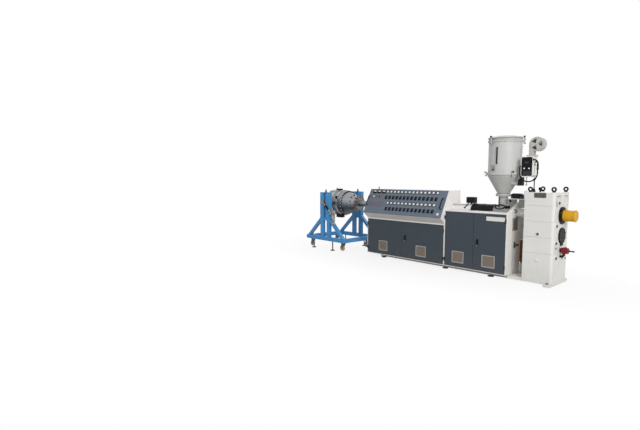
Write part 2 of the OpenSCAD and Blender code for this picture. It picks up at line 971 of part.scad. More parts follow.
module hopper_lid() {
    band_z = rim_z + rim_h + lid_band;
    color(grey) place() translate([hopper_x, 0, 0]) rotate_extrude() polygon([
        [0, rim_z],
        [hopper_r + rim_out, rim_z],
        [hopper_r + rim_out, rim_z + rim_h],
        [hopper_r, rim_z + rim_h],
        [hopper_r, band_z],
        [hopper_r + rim_out, band_z],
        [hopper_r + rim_out, band_z + lid_ring],
        [hopper_r - lid_slope, band_z + lid_ring + lid_dome],
        [0, band_z + lid_ring + lid_dome]
    ]);
}

clamp_turns = [25, 145, 244];
clamp_w = 36;
clamp_t = 26;
clamp_low = 55;
clamp_high = 50;
post_r = 7;
post_up = 38;
knob_r = 15;
knob_h = 24;
latch_w = 30;
latch_t = 20;
latch_h = 40;
latch_turns = [-40, 205];

// Three swing-bolt clamps on the lid and two latches on the cone joint
module hopper_clamps() {
    rim_r = hopper_r + rim_out + seat_gap;
    latch_r = hopper_r + cone_flange + seat_gap;
    color(dark) place() translate([hopper_x, 0, 0]) {
        for (a = clamp_turns)
            rotate([0, 0, a]) {
                block([rim_r, -clamp_w / 2, rim_z - clamp_low], [rim_r + clamp_t, clamp_w / 2, rim_z + clamp_high]);
                rod_z(rim_z + clamp_high, rim_z + clamp_high + post_up, post_r, rim_r + clamp_t / 2, 0);
                rod_z(rim_z + clamp_high + post_up - knob_h, rim_z + clamp_high + post_up, knob_r, rim_r + clamp_t / 2, 0);
            }
        for (a = latch_turns)
            rotate([0, 0, a])
                block([latch_r, -latch_w / 2, cone_top - latch_h], [latch_r + latch_t, latch_w / 2, cone_top + latch_h]);
    }
}

glass_low = 0.3;
glass_high = 0.8;
glass_t = 8;
glass_turn = -95;
glass_span = 6;

module sight_glass() {
    color(black) place() translate([hopper_x, 0, 0]) rotate([0, 0, glass_turn]) rotate_extrude(angle = glass_span)
        translate([hopper_r + seat_gap, cone_top + glass_low * hopper_h])
            square([glass_t, (glass_high - glass_low) * hopper_h]);
}

// Dryer: control box, blower scroll, hoses and the elbow into the cone
module dryer_box() {
    color(white) place() slab_y(box_front, box_y + box_d / 2, [
        [box_left, box_z1],
        [box_right, box_z1],
        [box_right, box_z0 + box_taper],
        [box_right - box_taper, box_z0],
        [box_left + box_taper, box_z0],
        [box_left, box_z0 + box_taper]
    ]);
}

panel_rim = 12;
panel_low = 20;
panel_proud = 6;

module dryer_box_panel() {
    color(black) place()
        block([box_left + panel_rim, box_front - panel_proud, box_z0 + panel_low],
              [box_right - panel_rim, box_front, box_z1 - panel_rim]);
}

scroll_x = 322;
scroll_up = 193;
scroll_half = 55;
scroll_grow = 8;
scroll_steps = 90;
scroll_z = box_z1 + scroll_up;
duct_w = 72;
duct_flange = 20;
duct_flange_w = 136;
inlet_r = 98;
inlet_hub = 22;
inlet_rim = 11;
inlet_proud = 6;
inlet_depth = 16;
inlet_n = 3;
inlet_span = 64;
inlet_start = 3;
front_y = box_y - scroll_half;

// The scroll widens from scroll_r at its tongue by scroll_grow over one turn, ending above the outlet duct
function scroll_point(k) =
    let (a = 180 - 360 * k / scroll_steps, r = scroll_r + scroll_grow * (1 - k / scroll_steps))
    [scroll_x + r * cos(a), scroll_z + r * sin(a)];

module fan_opening(a0, a1) {
    polygon(concat([[inlet_hub * cos((a0 + a1) / 2), inlet_hub * sin((a0 + a1) / 2)]],
                   [for (i = [0 : 12]) let (a = a0 + (a1 - a0) * i / 12)
                       [(inlet_r - inlet_rim) * cos(a), (inlet_r - inlet_rim) * sin(a)]]));
}

module dryer_blower() {
    duct_left = scroll_x - scroll_r - scroll_grow;
    color(grey) place() difference() {
        union() {
            slab_y(front_y, box_y + scroll_half, [for (k = [0 : scroll_steps - 1]) scroll_point(k)]);
            rod_y(front_y - inlet_proud, box_y, inlet_r, scroll_x, scroll_z);
            block([duct_left, front_y, box_z1 + duct_flange - eps], [duct_left + duct_w, box_y + scroll_half, scroll_z]);
            block([duct_left + (duct_w - duct_flange_w) / 2, box_y - duct_flange_w / 2, box_z1],
                  [duct_left + (duct_w + duct_flange_w) / 2, box_y + duct_flange_w / 2, box_z1 + duct_flange]);
        }
        for (i = [0 : inlet_n - 1])
            translate([scroll_x, front_y + inlet_depth, scroll_z]) rotate([90, 0, 0])
                linear_extrude(inlet_depth + inlet_proud + eps)
                    fan_opening(inlet_start + i * 360 / inlet_n - inlet_span / 2,
                                inlet_start + i * 360 / inlet_n + inlet_span / 2);
    }
}

hose_r = 11;
hose_left_out = 20;
hose_right_out = 70;
hose_y = -150;
hose_low = 67;
hose_left_up = 170;
hose_right_up = 215;
boot_r = 16;
boot_h = 95;
lead_r = 8;
lead_turn = -46;
sleeve_r = 17;
sleeve_half = 13;
gland_r1 = 26;
gland_r2 = 12;
gland_h = 50;

// A hose from the right side of the box, under it and up to its left side, with a lead down to the gearbox
module dryer_hoses() {
    left = box_left - hose_left_out;
    right = box_right + hose_right_out;
    turn_r = (right - left) / 2;
    turn_z = box_z0 + hose_low;
    left_z = box_z0 + hose_left_up;
    right_z = box_z0 + hose_right_up;
    lead_x = left + turn_r + turn_r * cos(lead_turn);
    lead_z = turn_z + turn_r * sin(lead_turn);
    color(black) place() {
        bend_xz([left + turn_r, hose_y, turn_z], turn_r, hose_r, 180, 180);
        rod_z(turn_z, left_z, hose_r, left, hose_y);
        rod_z(turn_z, right_z, hose_r, right, hose_y);
        rod_z(right_z - boot_h, right_z, boot_r, right, hose_y);
        bend_xz([box_left, hose_y, left_z], hose_left_out, hose_r, 90, 90);
        bend_xz([box_right, hose_y, right_z], hose_right_out, hose_r, 0, 90);
        rod_y(hose_y - sleeve_half, hose_y + sleeve_half, sleeve_r, lead_x, lead_z);
        rod_z(gear_top, lead_z, lead_r, lead_x, hose_y);
        translate([lead_x, hose_y, gear_top]) cylinder(h = gland_h, r1 = gland_r1, r2 = gland_r2);
    }
}

// A wedge-shaped boot between the box's lower left corner and the cone's hot air nozzle
module hot_air_elbow() {
    x0 = box_left - boot_left;
    z0 = box_z0 - boot_low;
    corner = box_z0 + box_taper - seat_gap;
    color(black) place() slab_y(box_y - boot_half, box_y + boot_half, [
        [x0, z0],
        [box_left + boot_right, z0],
        [box_left + boot_right, corner - boot_right],
        [box_left, corner],
        [x0, z0 + boot_side]
    ]);
}

bracket_half = 30;
bracket_low = 0.11;
bracket_high = 0.36;

module dryer_bracket() {
    z0 = cone_top + bracket_low * hopper_h;
    z1 = cone_top + bracket_high * hopper_h;
    color(white) place() difference() {
        block([hopper_x, -bracket_half, z0], [box_left, bracket_half, z1]);
        rod_z(z0 - eps, z1 + eps, hopper_r + seat_gap, hopper_x, 0);
    }
}

// The bent plate beside the throat and the round-topped cover that stands on it
shelf_front = -130;
shelf_back = -20;
shelf_left = -115;
shelf_right = 166;
shelf_t = 12;
tongue_back = 60;
shelf_drop = 52;
shelf_up = 135;
shelf_top = throat_top - shelf_drop;
gate_x = 20;
gate_half = 93;
gate_h = 88;
gate_round = 42;
gate_inset = 15;

module throat_bracket() {
    color(white) place() {
        block([shelf_left, shelf_front, shelf_top - shelf_t], [shelf_right, shelf_back, shelf_top]);
        difference() {
            block([hopper_x, shelf_back - eps, shelf_top - shelf_t],
                  [shelf_left + shelf_t, tongue_back, shelf_top]);
            rod_z(shelf_top - shelf_t - eps, shelf_top + eps, throat_r + seat_gap, hopper_x, 0);
        }
        block([shelf_right - shelf_t, shelf_front, shelf_top], [shelf_right, shelf_back, shelf_top + shelf_up]);
    }
}

module gate_cover() {
    y0 = shelf_front + gate_inset;
    y1 = shelf_back - gate_inset;
    round_z = shelf_top + gate_h - gate_round;
    straight = gate_half - gate_round;
    color(black) place() {
        block([gate_x - gate_half, y0, shelf_top], [gate_x + gate_half, y1, round_z]);
        block([gate_x - straight, y0, shelf_top], [gate_x + straight, y1, shelf_top + gate_h]);
        for (x = [gate_x - straight, gate_x + straight])
            rod_y(y0, y1, gate_round, x, round_z);
    }
}

// Die: adapter from the barrel, body that widens to its full size, bush and mandrel at the outlet
adapter_r = 70;
die_neck_r = 172;
die_neck_t = 40;
bush_len = 160;
bush_r = 230;
bush_flange_t = 45;
bush_flange_r = 275;
lip_gap = 8;
outlet_pipe_r = 150;
nose_len = 30;
nose_r = 90;

module die_adapter() {
    flange_x = barrel_left - joint_t;
    color(steel) place() {
        rod_x(flange_x - joint_t, flange_x, joint_r);
        rod_x(adapter_left + die_neck_t, flange_x - joint_t, adapter_r);
        rod_x(adapter_left, adapter_left + die_neck_t, die_neck_r);
    }
}

module die_body() {
    color(steel) place() translate([die_left, 0, axis_z]) rotate([0, 90, 0]) rotate_extrude() polygon([
        [0, 0],
        [die_r, 0],
        [die_r, die_len],
        [die_neck_r, die_len + die_cone_len],
        [0, die_len + die_cone_len]
    ]);
}

module die_bush() {
    color(steel) place() difference() {
        union() {
            rod_x(die_left - bush_len, die_left, bush_r);
            rod_x(die_left - bush_flange_t, die_left, bush_flange_r);
        }
        rod_x(die_left - bush_len - eps, die_left + eps, outlet_pipe_r);
    }
}

module die_mandrel() {
    color(steel) place() translate([die_left, 0, axis_z]) rotate([0, -90, 0]) rotate_extrude() polygon([
        [0, 0],
        [outlet_pipe_r - lip_gap, 0],
        [outlet_pipe_r - lip_gap, bush_len],
        [nose_r, bush_len + nose_len],
        [0, bush_len + nose_len]
    ]);
}

// Trolley: the die hangs by trunnion blocks in the slotted heads of two trestles
post_gap = 225;
post_w = 90;
head_w = 120;
head_d = 100;
head_z = 780;
head_cap = 15;
slot_half = post_gap / 2 + post_w / 2 - head_w;
block_half = 80;
trunnion_r = 45;
lift_r = 16;
lift_top = 70;
nut_r = 30;
nut_h = 24;

module die_trunnions() {
    color(dark) place()
        for (s = [0, 1])
            mirror([0, s, 0]) {
                block([trolley_mid - slot_half + seat_gap, -trestle_y - head_d / 2, axis_z - block_half],
                      [trolley_mid + slot_half - seat_gap, -trestle_y + head_d / 2, axis_z + block_half]);
                rod_y(-trestle_y + head_d / 2, -die_r - seat_gap, trunnion_r, trolley_mid, axis_z);
            }
}

module adjusting_screws() {
    color(dark) place()
        for (y = [-trestle_y, trestle_y]) {
            rod_z(axis_z + block_half, head_top + head_cap + lift_top, lift_r, trolley_mid, y);
            translate([trolley_mid, y, head_top + head_cap]) cylinder(h = nut_h, r = nut_r, $fn = 6);
        }
}

brace_w = 90;
brace_in = 30;
tie_h = 70;

// One side of the trolley: base beam, twin posts, sloping braces and a slotted head
module trestle(y0) {
    near = y0 - beam_w / 2;
    far = y0 + beam_w / 2;
    beam_top = beam_z + beam_h;
    outer = post_gap / 2 + post_w / 2;
    foot = trolley_len / 2 - brace_in;
    block([trolley_left, near, beam_z], [trolley_right, far, beam_top]);
    translate([trolley_mid, 0, 0])
        for (s = [0, 1])
            mirror([s, 0, 0]) {
                block([outer - post_w, near, beam_top - eps], [outer, far, head_z]);
                slab_y(near, far, [
                    [foot - brace_w, beam_top - eps],
                    [foot, beam_top - eps],
                    [outer - eps, head_z],
                    [outer - eps, head_z - brace_w]
                ]);
                block([outer - head_w, y0 - head_d / 2, head_z - eps], [outer, y0 + head_d / 2, head_top]);
                block([0, near, head_z - tie_h], [outer - post_w + eps, far, head_z]);
            }
    difference() {
        block([trolley_mid - outer, y0 - head_d / 2, head_top - eps],
              [trolley_mid + outer, y0 + head_d / 2, head_top + head_cap]);
        rod_z(head_top - 2 * eps, head_top + head_cap + eps, lift_r + seat_gap, trolley_mid, y0);
    }
}

module near_trestle() {
    color(blue) place() trestle(-trestle_y);
}

module far_trestle() {
    color(blue) place() trestle(trestle_y);
}

caster_right = 184;
caster_y = 420;
plate_t = 10;
plate_half = 45;
pin_r = 12;
pin_len = 22;
pin_gap = 0.08;

function caster_x(k) = k < 2 ? trolley_left + cross_in : trolley_right - caster_right;
function caster_side(k) = k % 2 == 0 ? -1 : 1;
function plate_reach(k) = k < 2 ? plate_half : caster_right - cross_in;

// Two beams between the trestles, with the caster plates and their swivel pins welded below
module trolley_crossbeams() {
    reach = trestle_y - beam_w / 2;
    color(blue) place() {
        for (x = [trolley_left + cross_in, trolley_right - cross_in])
            block([x - beam_w / 2, -reach, beam_z], [x + beam_w / 2, reach, beam_z + beam_h]);
        for (k = [0 : 3])
            translate([caster_x(k), caster_side(k) * caster_y, beam_z - plate_t]) {
                translate([-plate_half, -plate_half, 0])
                    cube([plate_half + plate_reach(k), 2 * plate_half, plate_t]);
                translate([0, 0, -pin_len]) cylinder(h = pin_len + eps, r = pin_r);
            }
    }
}

wheel_w = 40;
fork_gap = 6;
fork_t = 5;
fork_crown = 20;
fork_back = 34;
fork_end = 22;
axle_r = 8;
wheel_lift = 6;
wheel_z = wheel_r + wheel_lift;
fork_top = beam_z - plate_t - seat_gap;

// A swivel fork: crown with the pin hole, two tapered cheeks and the axle
module caster_fork(k) {
    half = wheel_w / 2 + fork_gap;
    crown_z = fork_top - fork_crown;
    color(dark) place() translate([caster_x(k), caster_side(k) * caster_y, 0]) rotate([0, 0, 180]) {
        difference() {
            block([-fork_back, -half - fork_t, crown_z], [trail + fork_end, half + fork_t, fork_top]);
            rod_z(crown_z - eps, fork_top + eps, pin_r + pin_gap);
        }
        for (s = [0, 1])
            mirror([0, s, 0]) {
                slab_y(half, half + fork_t, [
                    [-fork_back, crown_z + eps],
                    [trail + fork_end, crown_z + eps],
                    [trail + fork_end, wheel_z],
                    [trail - fork_end, wheel_z]
                ]);
                rod_y(half, half + fork_t, fork_end, trail, wheel_z);
            }
        rod_y(-half - fork_t, half + fork_t, axle_r, trail, wheel_z);
    }
}

module caster_fork_1() {
    caster_fork(0);
}

module caster_fork_2() {
    caster_fork(1);
}

module caster_fork_3() {
    caster_fork(2);
}

module caster_fork_4() {
    caster_fork(3);
}

hub_r = 22;
tread = 14;
web_in = 9;
tread_edge = 5;

// A wheel with a hub, a thinner web and a tread with bevelled edges
module caster_wheel(k) {
    half = wheel_w / 2;
    color("wheat") place() translate([caster_x(k) - trail, caster_side(k) * caster_y, wheel_z])
        rotate([90, 0, 0]) rotate_extrude() polygon([
            [axle_r + pin_gap, -half],
            [hub_r, -half],
            [hub_r, web_in - half],
            [wheel_r - tread, web_in - half],
            [wheel_r - tread, -half],
            [wheel_r - tread_edge, -half],
            [wheel_r, tread_edge - half],
            [wheel_r, half - tread_edge],
            [wheel_r - tread_edge, half],
            [wheel_r - tread, half],
            [wheel_r - tread, half - web_in],
            [hub_r, half - web_in],
            [hub_r, half],
            [axle_r + pin_gap, half]
        ]);
}

module caster_wheel_1() {
    caster_wheel(0);
}

module caster_wheel_2() {
    caster_wheel(1);
}

module caster_wheel_3() {
    caster_wheel(2);
}

module caster_wheel_4() {
    caster_wheel(3);
}

base_frame();
levelling_feet();
console_body();
console_panel();
panel_displays();
panel_switches();
panel_bow_handles();
cabinet_body();
door_hinges();
console_door_left();
console_door_right();
cabinet_door_left();
cabinet_door_right();
side_vent();
isolator_base();
isolator_lever();
barrel();
heater_bands();
heater_cover();
barrel_guard();
terminal_box();
feed_section();
thrust_housing();
coupling_guard();
gearbox_housing();
gearbox_covers();
screw_end_cap();
oil_pump();
oil_pipes();
lifting_eyes();
hopper_cone();
hopper_cylinder();
hopper_lid();
hopper_clamps();
sight_glass();
dryer_box();
dryer_box_panel();
dryer_blower();
dryer_hoses();
hot_air_elbow();
dryer_bracket();
throat_bracket();
gate_cover();
die_adapter();
die_body();
die_bush();
die_mandrel();
die_trunnions();
adjusting_screws();
near_trestle();
far_trestle();
trolley_crossbeams();
caster_fork_1();
caster_fork_2();
caster_fork_3();
caster_fork_4();
caster_wheel_1();
caster_wheel_2();
caster_wheel_3();
caster_wheel_4();
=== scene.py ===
"""Looks of the plastic extruder: finishes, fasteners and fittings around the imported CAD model.

The fittings are worked out in machine millimetres: x is counted along the screw from the main cabinet's
right wall, y = 0 is the screw axis, the doors face -y and the floor is z = 0. piece() turns them into
metres in the CAD frame. A shape is a pair: its points, one a row, and its faces of four corners.
"""
import math

import bmesh
import bpy
import numpy as np
from mathutils import Matrix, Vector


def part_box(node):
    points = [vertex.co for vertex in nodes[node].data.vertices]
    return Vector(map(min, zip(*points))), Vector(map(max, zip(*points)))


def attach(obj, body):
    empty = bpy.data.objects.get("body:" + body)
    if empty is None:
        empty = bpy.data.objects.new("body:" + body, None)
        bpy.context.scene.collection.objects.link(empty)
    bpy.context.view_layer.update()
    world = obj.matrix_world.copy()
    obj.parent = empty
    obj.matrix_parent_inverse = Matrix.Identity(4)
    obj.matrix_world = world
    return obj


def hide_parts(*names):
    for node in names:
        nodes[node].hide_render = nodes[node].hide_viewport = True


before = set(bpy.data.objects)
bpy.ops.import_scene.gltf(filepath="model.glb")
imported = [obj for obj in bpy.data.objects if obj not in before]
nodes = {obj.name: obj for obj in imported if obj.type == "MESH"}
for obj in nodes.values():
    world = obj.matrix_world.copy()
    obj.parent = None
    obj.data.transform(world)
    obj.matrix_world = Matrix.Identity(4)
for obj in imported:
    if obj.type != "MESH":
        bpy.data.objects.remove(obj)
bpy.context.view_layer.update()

# Places that several fittings share, in machine millimetres
WALL_X = 2066.235       # the main cabinet's right wall, counted from the middle of the CAD frame
CONSOLE_LEFT, CONSOLE_RIGHT = -3123.0, -1180.0
DOOR_Y, BACK_Y = -380.0, 150.0
AXIS_Z = 1120.0
GEAR_END, GEAR_FRONT, GEAR_TOP = 697.0, -308.0, 1490.0
HOPPER_X, HOPPER_R, CONE_TOP = -255.0, 270.0, 1790.0
BOX_LEFT, BOX_RIGHT, BOX_FRONT = 97.0, 289.0, -162.5
BLOWER_X, BLOWER_Z, BLOWER_FRONT = 322.0, 2263.0, -135.0
CONE_LEFT, NECK_LEFT, DIE_R, NECK_R = -4200.0, -3763.0, 300.0, 172.0
TROLLEY_X = -4328.5
DESK_TILT = math.atan2(257.0, 500.0)
DESK_LIP_Y, DESK_LIP_Z = -528.0, 982.0

FRONT, BACK, RIGHT, LEFT, UP, DOWN = (0, -1, 0), (0, 1, 0), (1, 0, 0), (-1, 0, 0), (0, 0, 1), (0, 0, -1)
DESK_OUT = (0, -math.cos(DESK_TILT), math.sin(DESK_TILT))

SMALLEST_CORNER = 0.02      # millimetres, so that an outline drawn in past its corner keeps its points apart
MERGE_DISTANCE = 2e-6       # metres


# Shapes

def grid_faces(rows, cols, wrap_rows=False, wrap_cols=False):
    """Quads of a rows by cols grid of points, joined round where it wraps."""
    r = np.arange(rows if wrap_rows else rows - 1)
    c = np.arange(cols if wrap_cols else cols - 1)
    i, j = np.meshgrid(r, c, indexing="ij")
    k, m = (i + 1) % rows, (j + 1) % cols
    return np.stack([i * cols + j, i * cols + m, k * cols + m, k * cols + j], -1).reshape(-1, 4)


def copied_faces(faces, points, copies):
    """The faces of a shape repeated for each copy, counted on by the shape's number of points."""
    return (faces[None] + (np.arange(copies) * len(points))[:, None, None]).reshape(-1, 4)


def lathe(profile, turns=32):
    """A profile of (radius, height) pairs turned about Z: x = r cos a, y = r sin a, z = h."""
    r, h = np.asarray(profile, float).T
    angle = 2 * math.pi * np.arange(turns) / turns
    points = np.stack([np.outer(np.cos(angle), r), np.outer(np.sin(angle), r),
                       np.broadcast_to(h, (turns, len(h)))], -1)
    return points.reshape(-1, 3), grid_faces(turns, len(h), wrap_rows=True)


def outlines(width, height, corner, profile, corner_steps):
    """Rounded rectangles, one for each (inset, z) pair: each is the full size drawn in by its inset."""
    profile = np.asarray(profile, float)
    a = np.linspace(0, math.pi / 2, corner_steps)
    turn = np.concatenate([a + q * math.pi / 2 for q in range(4)])
    sx = np.repeat([1, -1, -1, 1], corner_steps)
    sy = np.repeat([1, 1, -1, -1], corner_steps)
    inset = profile[:, :1]
    radius = np.maximum(corner - inset, SMALLEST_CORNER)
    x = sx * (width / 2 - inset - radius) + radius * np.cos(turn)
    y = sy * (height / 2 - inset - radius) + radius * np.sin(turn)
    return np.stack([x, y, np.broadcast_to(profile[:, 1:], x.shape)], -1)


def plate(width, height, corner, profile, corner_steps=5):
    """A rounded rectangle carried up a profile of (inset, z) pairs, both ends drawn in to the centre."""
    rings = outlines(width, height, corner, profile, corner_steps)
    rings = np.concatenate([rings[:1] * [0, 0, 1], rings, rings[-1:] * [0, 0, 1]])
    return rings.reshape(-1, 3), grid_faces(len(rings), rings.shape[1], wrap_cols=True)


def border(width, height, corner, profile, corner_steps=5):
    """A rectangular frame: a closed profile of (inset, z) pairs carried round a rounded rectangle."""
    rings = outlines(width, height, corner, profile, corner_steps)
    return rings.reshape(-1, 3), grid_faces(len(rings), rings.shape[1], wrap_rows=True, wrap_cols=True)


def slab(width, height, thick, corner=2.0, edge=0.8):
    """A flat plate of a thickness with a bevel of one edge length round its upper side."""
    return plate(width, height, corner, [(0, 0), (0, thick - edge), (edge, thick)])


def disc(radius, height, inset, drop, turns=24):
    """A round plate whose upper rim slopes in by the inset over the drop."""
    return lathe([(0, height), (radius - inset, height), (radius, height - drop), (radius, 0), (0, 0)], turns)


def collar(inner, outer, height, drop=2, base=0, turns=24):
    """A ring between two radii on its base, its outer upper rim sloping in by 2 over the drop."""
    profile = [(inner, base), (outer, base), (outer, height - drop), (outer - 2, height), (inner, height)]
    return lathe(profile, turns)


def sweep(path, section, up=(0, 0, 1), closed=False, scale=None):
    """A section of (side, top) pairs carried along a path; side is the path's direction crossed with up.

    scale multiplies the section at each point of the path. An open path's ends close to their middles.
    """
    path, section = np.asarray(path, float), np.asarray(section, float)
    if closed:
        along = np.roll(path, -1, 0) - np.roll(path, 1, 0)
    else:
        along = np.gradient(path, axis=0)
    along /= np.linalg.norm(along, axis=1, keepdims=True)
    side = np.cross(along, np.asarray(up, float))
    side /= np.linalg.norm(side, axis=1, keepdims=True)
    top = np.cross(side, along)
    grow = np.ones(len(path)) if scale is None else np.asarray(scale, float)
    around = section[None, :, :1] * side[:, None] + section[None, :, 1:] * top[:, None]
    points = path[:, None] + around * grow[:, None, None]
    if not closed:
        points = np.concatenate([np.broadcast_to(path[:1, None], points[:1].shape), points,
                                 np.broadcast_to(path[-1:, None], points[:1].shape)])
    return points.reshape(-1, 3), grid_faces(len(points), len(section), wrap_rows=closed, wrap_cols=True)


def round_section(radius, steps=12):
    """A circle of (side, top) pairs for sweep."""
    a = 2 * math.pi * np.arange(steps) / steps
    return np.stack([radius * np.cos(a), radius * np.sin(a)], -1)


def bar(path, radius):
    """A round rod along a path, six steps to each stretch between the given points."""
    path = np.asarray(path, float)
    span = np.abs(path[-1] - path[0])
    up = (0, 1, 0) if span[2] > span[:2].max() else (0, 0, 1)
    step = np.linspace(0, len(path) - 1, 6 * (len(path) - 1) + 1)
    spread = np.stack([np.interp(step, np.arange(len(path)), path[:, k]) for k in range(3)], -1)
    return sweep(spread, round_section(radius), up)


def axes_to(direction, about=0.0):
    """The rotation that takes +Z to a direction and +Y as near to up as it can, turned about the first."""
    z = np.asarray(direction, float) / np.linalg.norm(direction)
    ref = np.array([0, 0, 1.0]) if abs(z[2]) < 0.95 else np.array([0, 1.0, 0])
    x = np.cross(ref, z)
    x /= np.linalg.norm(x)
    y = np.cross(z, x)
    c, s = math.cos(about), math.sin(about)
    return np.stack([c * x + s * y, c * y - s * x, z], -1)


def put(shape, places, direction=UP, about=0.0):
    """Copies of a shape at several places: each point is turned to the direction, then moved to the place."""
    points, faces = shape
    places = np.atleast_2d(np.asarray(places, float))
    copies = (places[:, None] + (points @ axes_to(direction, about).T)[None]).reshape(-1, 3)
    return copies, copied_faces(faces, points, len(places))


def join(*shapes):
    """Several shapes as one list of points and faces."""
    steps = np.cumsum([0] + [len(p) for p, f in shapes[:-1]])
    return (np.concatenate([p for p, f in shapes]),
            np.concatenate([f + s for (p, f), s in zip(shapes, steps)]))


def wrap(shape, radius, z, degrees):
    """A flat shape wrapped on the hopper at a height: x becomes the angle x / radius and z the way out."""
    points, faces = shape
    a, r = math.radians(degrees) + points[:, 0] / radius, radius + points[:, 2]
    return np.stack([HOPPER_X + r * np.cos(a), r * np.sin(a), z + points[:, 1]], -1), faces


def round_screw(shape, degrees, radius, x, flare=0.0):
    """Copies of a shape about the screw axis: its z goes outwards, its y along x, leaned by the flare."""
    points, faces = shape
    a = np.radians(np.asarray(degrees, float))[:, None]
    c, s = math.cos(flare), math.sin(flare)
    out, along = points[:, 2] * c - points[:, 1] * s + radius, points[:, 1] * c + points[:, 2] * s
    y = np.sin(a) * out + np.cos(a) * points[:, 0]
    z = np.cos(a) * out - np.sin(a) * points[:, 0]
    copies = np.stack([np.broadcast_to(x + along, y.shape), y, AXIS_Z + z], -1)
    return copies.reshape(-1, 3), copied_faces(faces, points, len(a))


def circle(n, radius, centre, axis, start=0.0):
    """n places on a circle about an axis through a centre."""
    a = start + 2 * math.pi * np.arange(n) / n
    flat = np.stack([radius * np.cos(a), radius * np.sin(a), np.zeros(n)], -1)
    return np.asarray(centre, float) + flat @ axes_to(axis).T


def on_desk(x, up):
    """Places on the console's sloping desk: x along it and up its slope from the lip."""
    x, up = np.broadcast_arrays(np.asarray(x, float), up)
    return np.stack([x, DESK_LIP_Y + up * math.sin(DESK_TILT), DESK_LIP_Z + up * math.cos(DESK_TILT)], -1)


def corners(x, z, half_x, half_z, y):
    """Four places at the corners of a rectangle on a wall that faces y."""
    sx, sz = np.array([-1, 1, 1, -1]), np.array([-1, -1, 1, 1])
    return np.stack([x + sx * half_x, np.full(4, y), z + sz * half_z], -1)


def in_metres(points):
    """Points in machine millimetres as metres in the CAD frame."""
    return (np.asarray(points, float) + [WALL_X, 0, 0]) / 1000


def piece(name, shape, material, body="machine", smooth_angle=35.0):
    """A mesh object from a shape in machine millimetres, its doubles merged, that rides on a CAD body."""
    points, faces = shape
    mesh = bpy.data.meshes.new(name)
    mesh.vertices.add(len(points))
    mesh.vertices.foreach_set("co", np.ascontiguousarray(in_metres(points), np.float32).ravel())
    mesh.loops.add(faces.size)
    mesh.loops.foreach_set("vertex_index", np.ascontiguousarray(faces, np.int32).ravel())
    mesh.polygons.add(len(faces))
    mesh.polygons.foreach_set("loop_start", np.arange(len(faces), dtype=np.int32) * 4)
    mesh.update(calc_edges=True)
    bm = bmesh.new()
    bm.from_mesh(mesh)
    bmesh.ops.remove_doubles(bm, verts=bm.verts, dist=MERGE_DISTANCE)
    bmesh.ops.dissolve_degenerate(bm, edges=bm.edges, dist=1e-7)
    bmesh.ops.recalc_face_normals(bm, faces=bm.faces)
    bm.to_mesh(mesh)
    bm.free()
    mesh.polygons.foreach_set("use_smooth", np.ones(len(mesh.polygons), bool))
    mesh.set_sharp_from_angle(angle=math.radians(smooth_angle))
    mesh.materials.append(material)
    obj = bpy.data.objects.new(name, mesh)
    bpy.context.scene.collection.objects.link(obj)
    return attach(obj, body)


def fit(name, material, shape, places, direction=UP, body="machine"):
    """A piece made of copies of a shape at several places, turned to a direction."""
    return piece(name, put(shape, places, direction), material, body)


# Finishes

SOCKETS = {1: "NodeSocketFloat", 3: "NodeSocketVector", 4: "NodeSocketColor"}
SKIN_OUTPUTS = {"Colour": 4, "Roughness": 1, "Height": 1}
# The first colour is for both the grime near the floor and the painted shade on paint faces that look down
GRIME_AND_SHADE_COLOUR = (0.2, 0.18, 0.15, 1)
STAIN = (0.2, 0.17, 0.13, 1)
# the dark colour of the painted shade on metal faces that look down
UNDERSIDE_SHADE_COLOUR = (0.022, 0.024, 0.03, 1)
TOOL_LINE = (0.12, 0.12, 0.12, 1)
BRIGHT_EDGE = (0.75, 0.75, 0.74, 1)
PALE_SCUFF = (0.06, 0.06, 0.063, 1)


def linear(r, g, b):
    """A colour given in 0-255 display values as linear values with alpha."""
    c = np.array([r, g, b]) / 255.0
    c = np.where(c <= 0.04045, c / 12.92, ((c + 0.055) / 1.055) ** 2.4)
    return (*c.tolist(), 1.0)


def shader_group(name, inputs, outputs):
    """A node group from its inputs' first values and its outputs' channels; also gives its inner sockets."""
    group = bpy.data.node_groups.new(name, "ShaderNodeTree")
    for socket, value in inputs.items():
        made = group.interface.new_socket(socket, in_out="INPUT", socket_type=SOCKETS[np.size(value)])
        made.default_value = value
    for socket, channels in outputs.items():
        group.interface.new_socket(socket, in_out="OUTPUT", socket_type=SOCKETS[channels])
    return group, group.nodes.new("NodeGroupInput").outputs, group.nodes.new("NodeGroupOutput").inputs


def feed(tree, socket, value):
    """Links another socket into an input socket, or writes a plain value on it."""
    if isinstance(value, bpy.types.NodeSocket):
        tree.links.new(value, socket)
    else:
        socket.default_value = value


def add(tree, kind, **settings):
    """A shader node with its settings; a setting named as an input socket, spaces as _, feeds that socket."""
    node = tree.nodes.new("ShaderNode" + kind)
    for key, value in settings.items():
        socket = key.replace("_", " ")
        if socket in node.inputs:
            feed(tree, node.inputs[socket], value)
        else:
            setattr(node, key, value)
    return node


def mix_colour(tree, factor, a, b, blend="MIX"):
    """Mixes two colours; each argument is a socket or a value."""
    node = add(tree, "Mix", data_type="RGBA", blend_type=blend)
    for index, value in ((0, factor), (6, a), (7, b)):
        feed(tree, node.inputs[index], value)
    return node.outputs[2]


def maths(tree, operation, a, b, kind="Math"):
    """A Math or VectorMath node on two sockets or values."""
    node = add(tree, kind, operation=operation)
    feed(tree, node.inputs[0], a)
    feed(tree, node.inputs[1], b)
    return node.outputs["Value" if operation == "DOT_PRODUCT" else 0]


def ramp(tree, value, low, high):
    """A value scaled so that low gives 0 and high gives 1, held between them."""
    return add(tree, "MapRange", clamp=True, Value=value, From_Min=low, From_Max=high).outputs["Result"]


def noise(tree, vector, scale, detail, rough):
    """Noise on a coordinate socket."""
    return add(tree, "TexNoise", Vector=vector, Scale=scale, Detail=detail, Roughness=rough).outputs["Fac"]


def object_place(tree):
    """The Object coordinates, which are metres in the CAD frame."""
    return add(tree, "TexCoord").outputs["Object"]


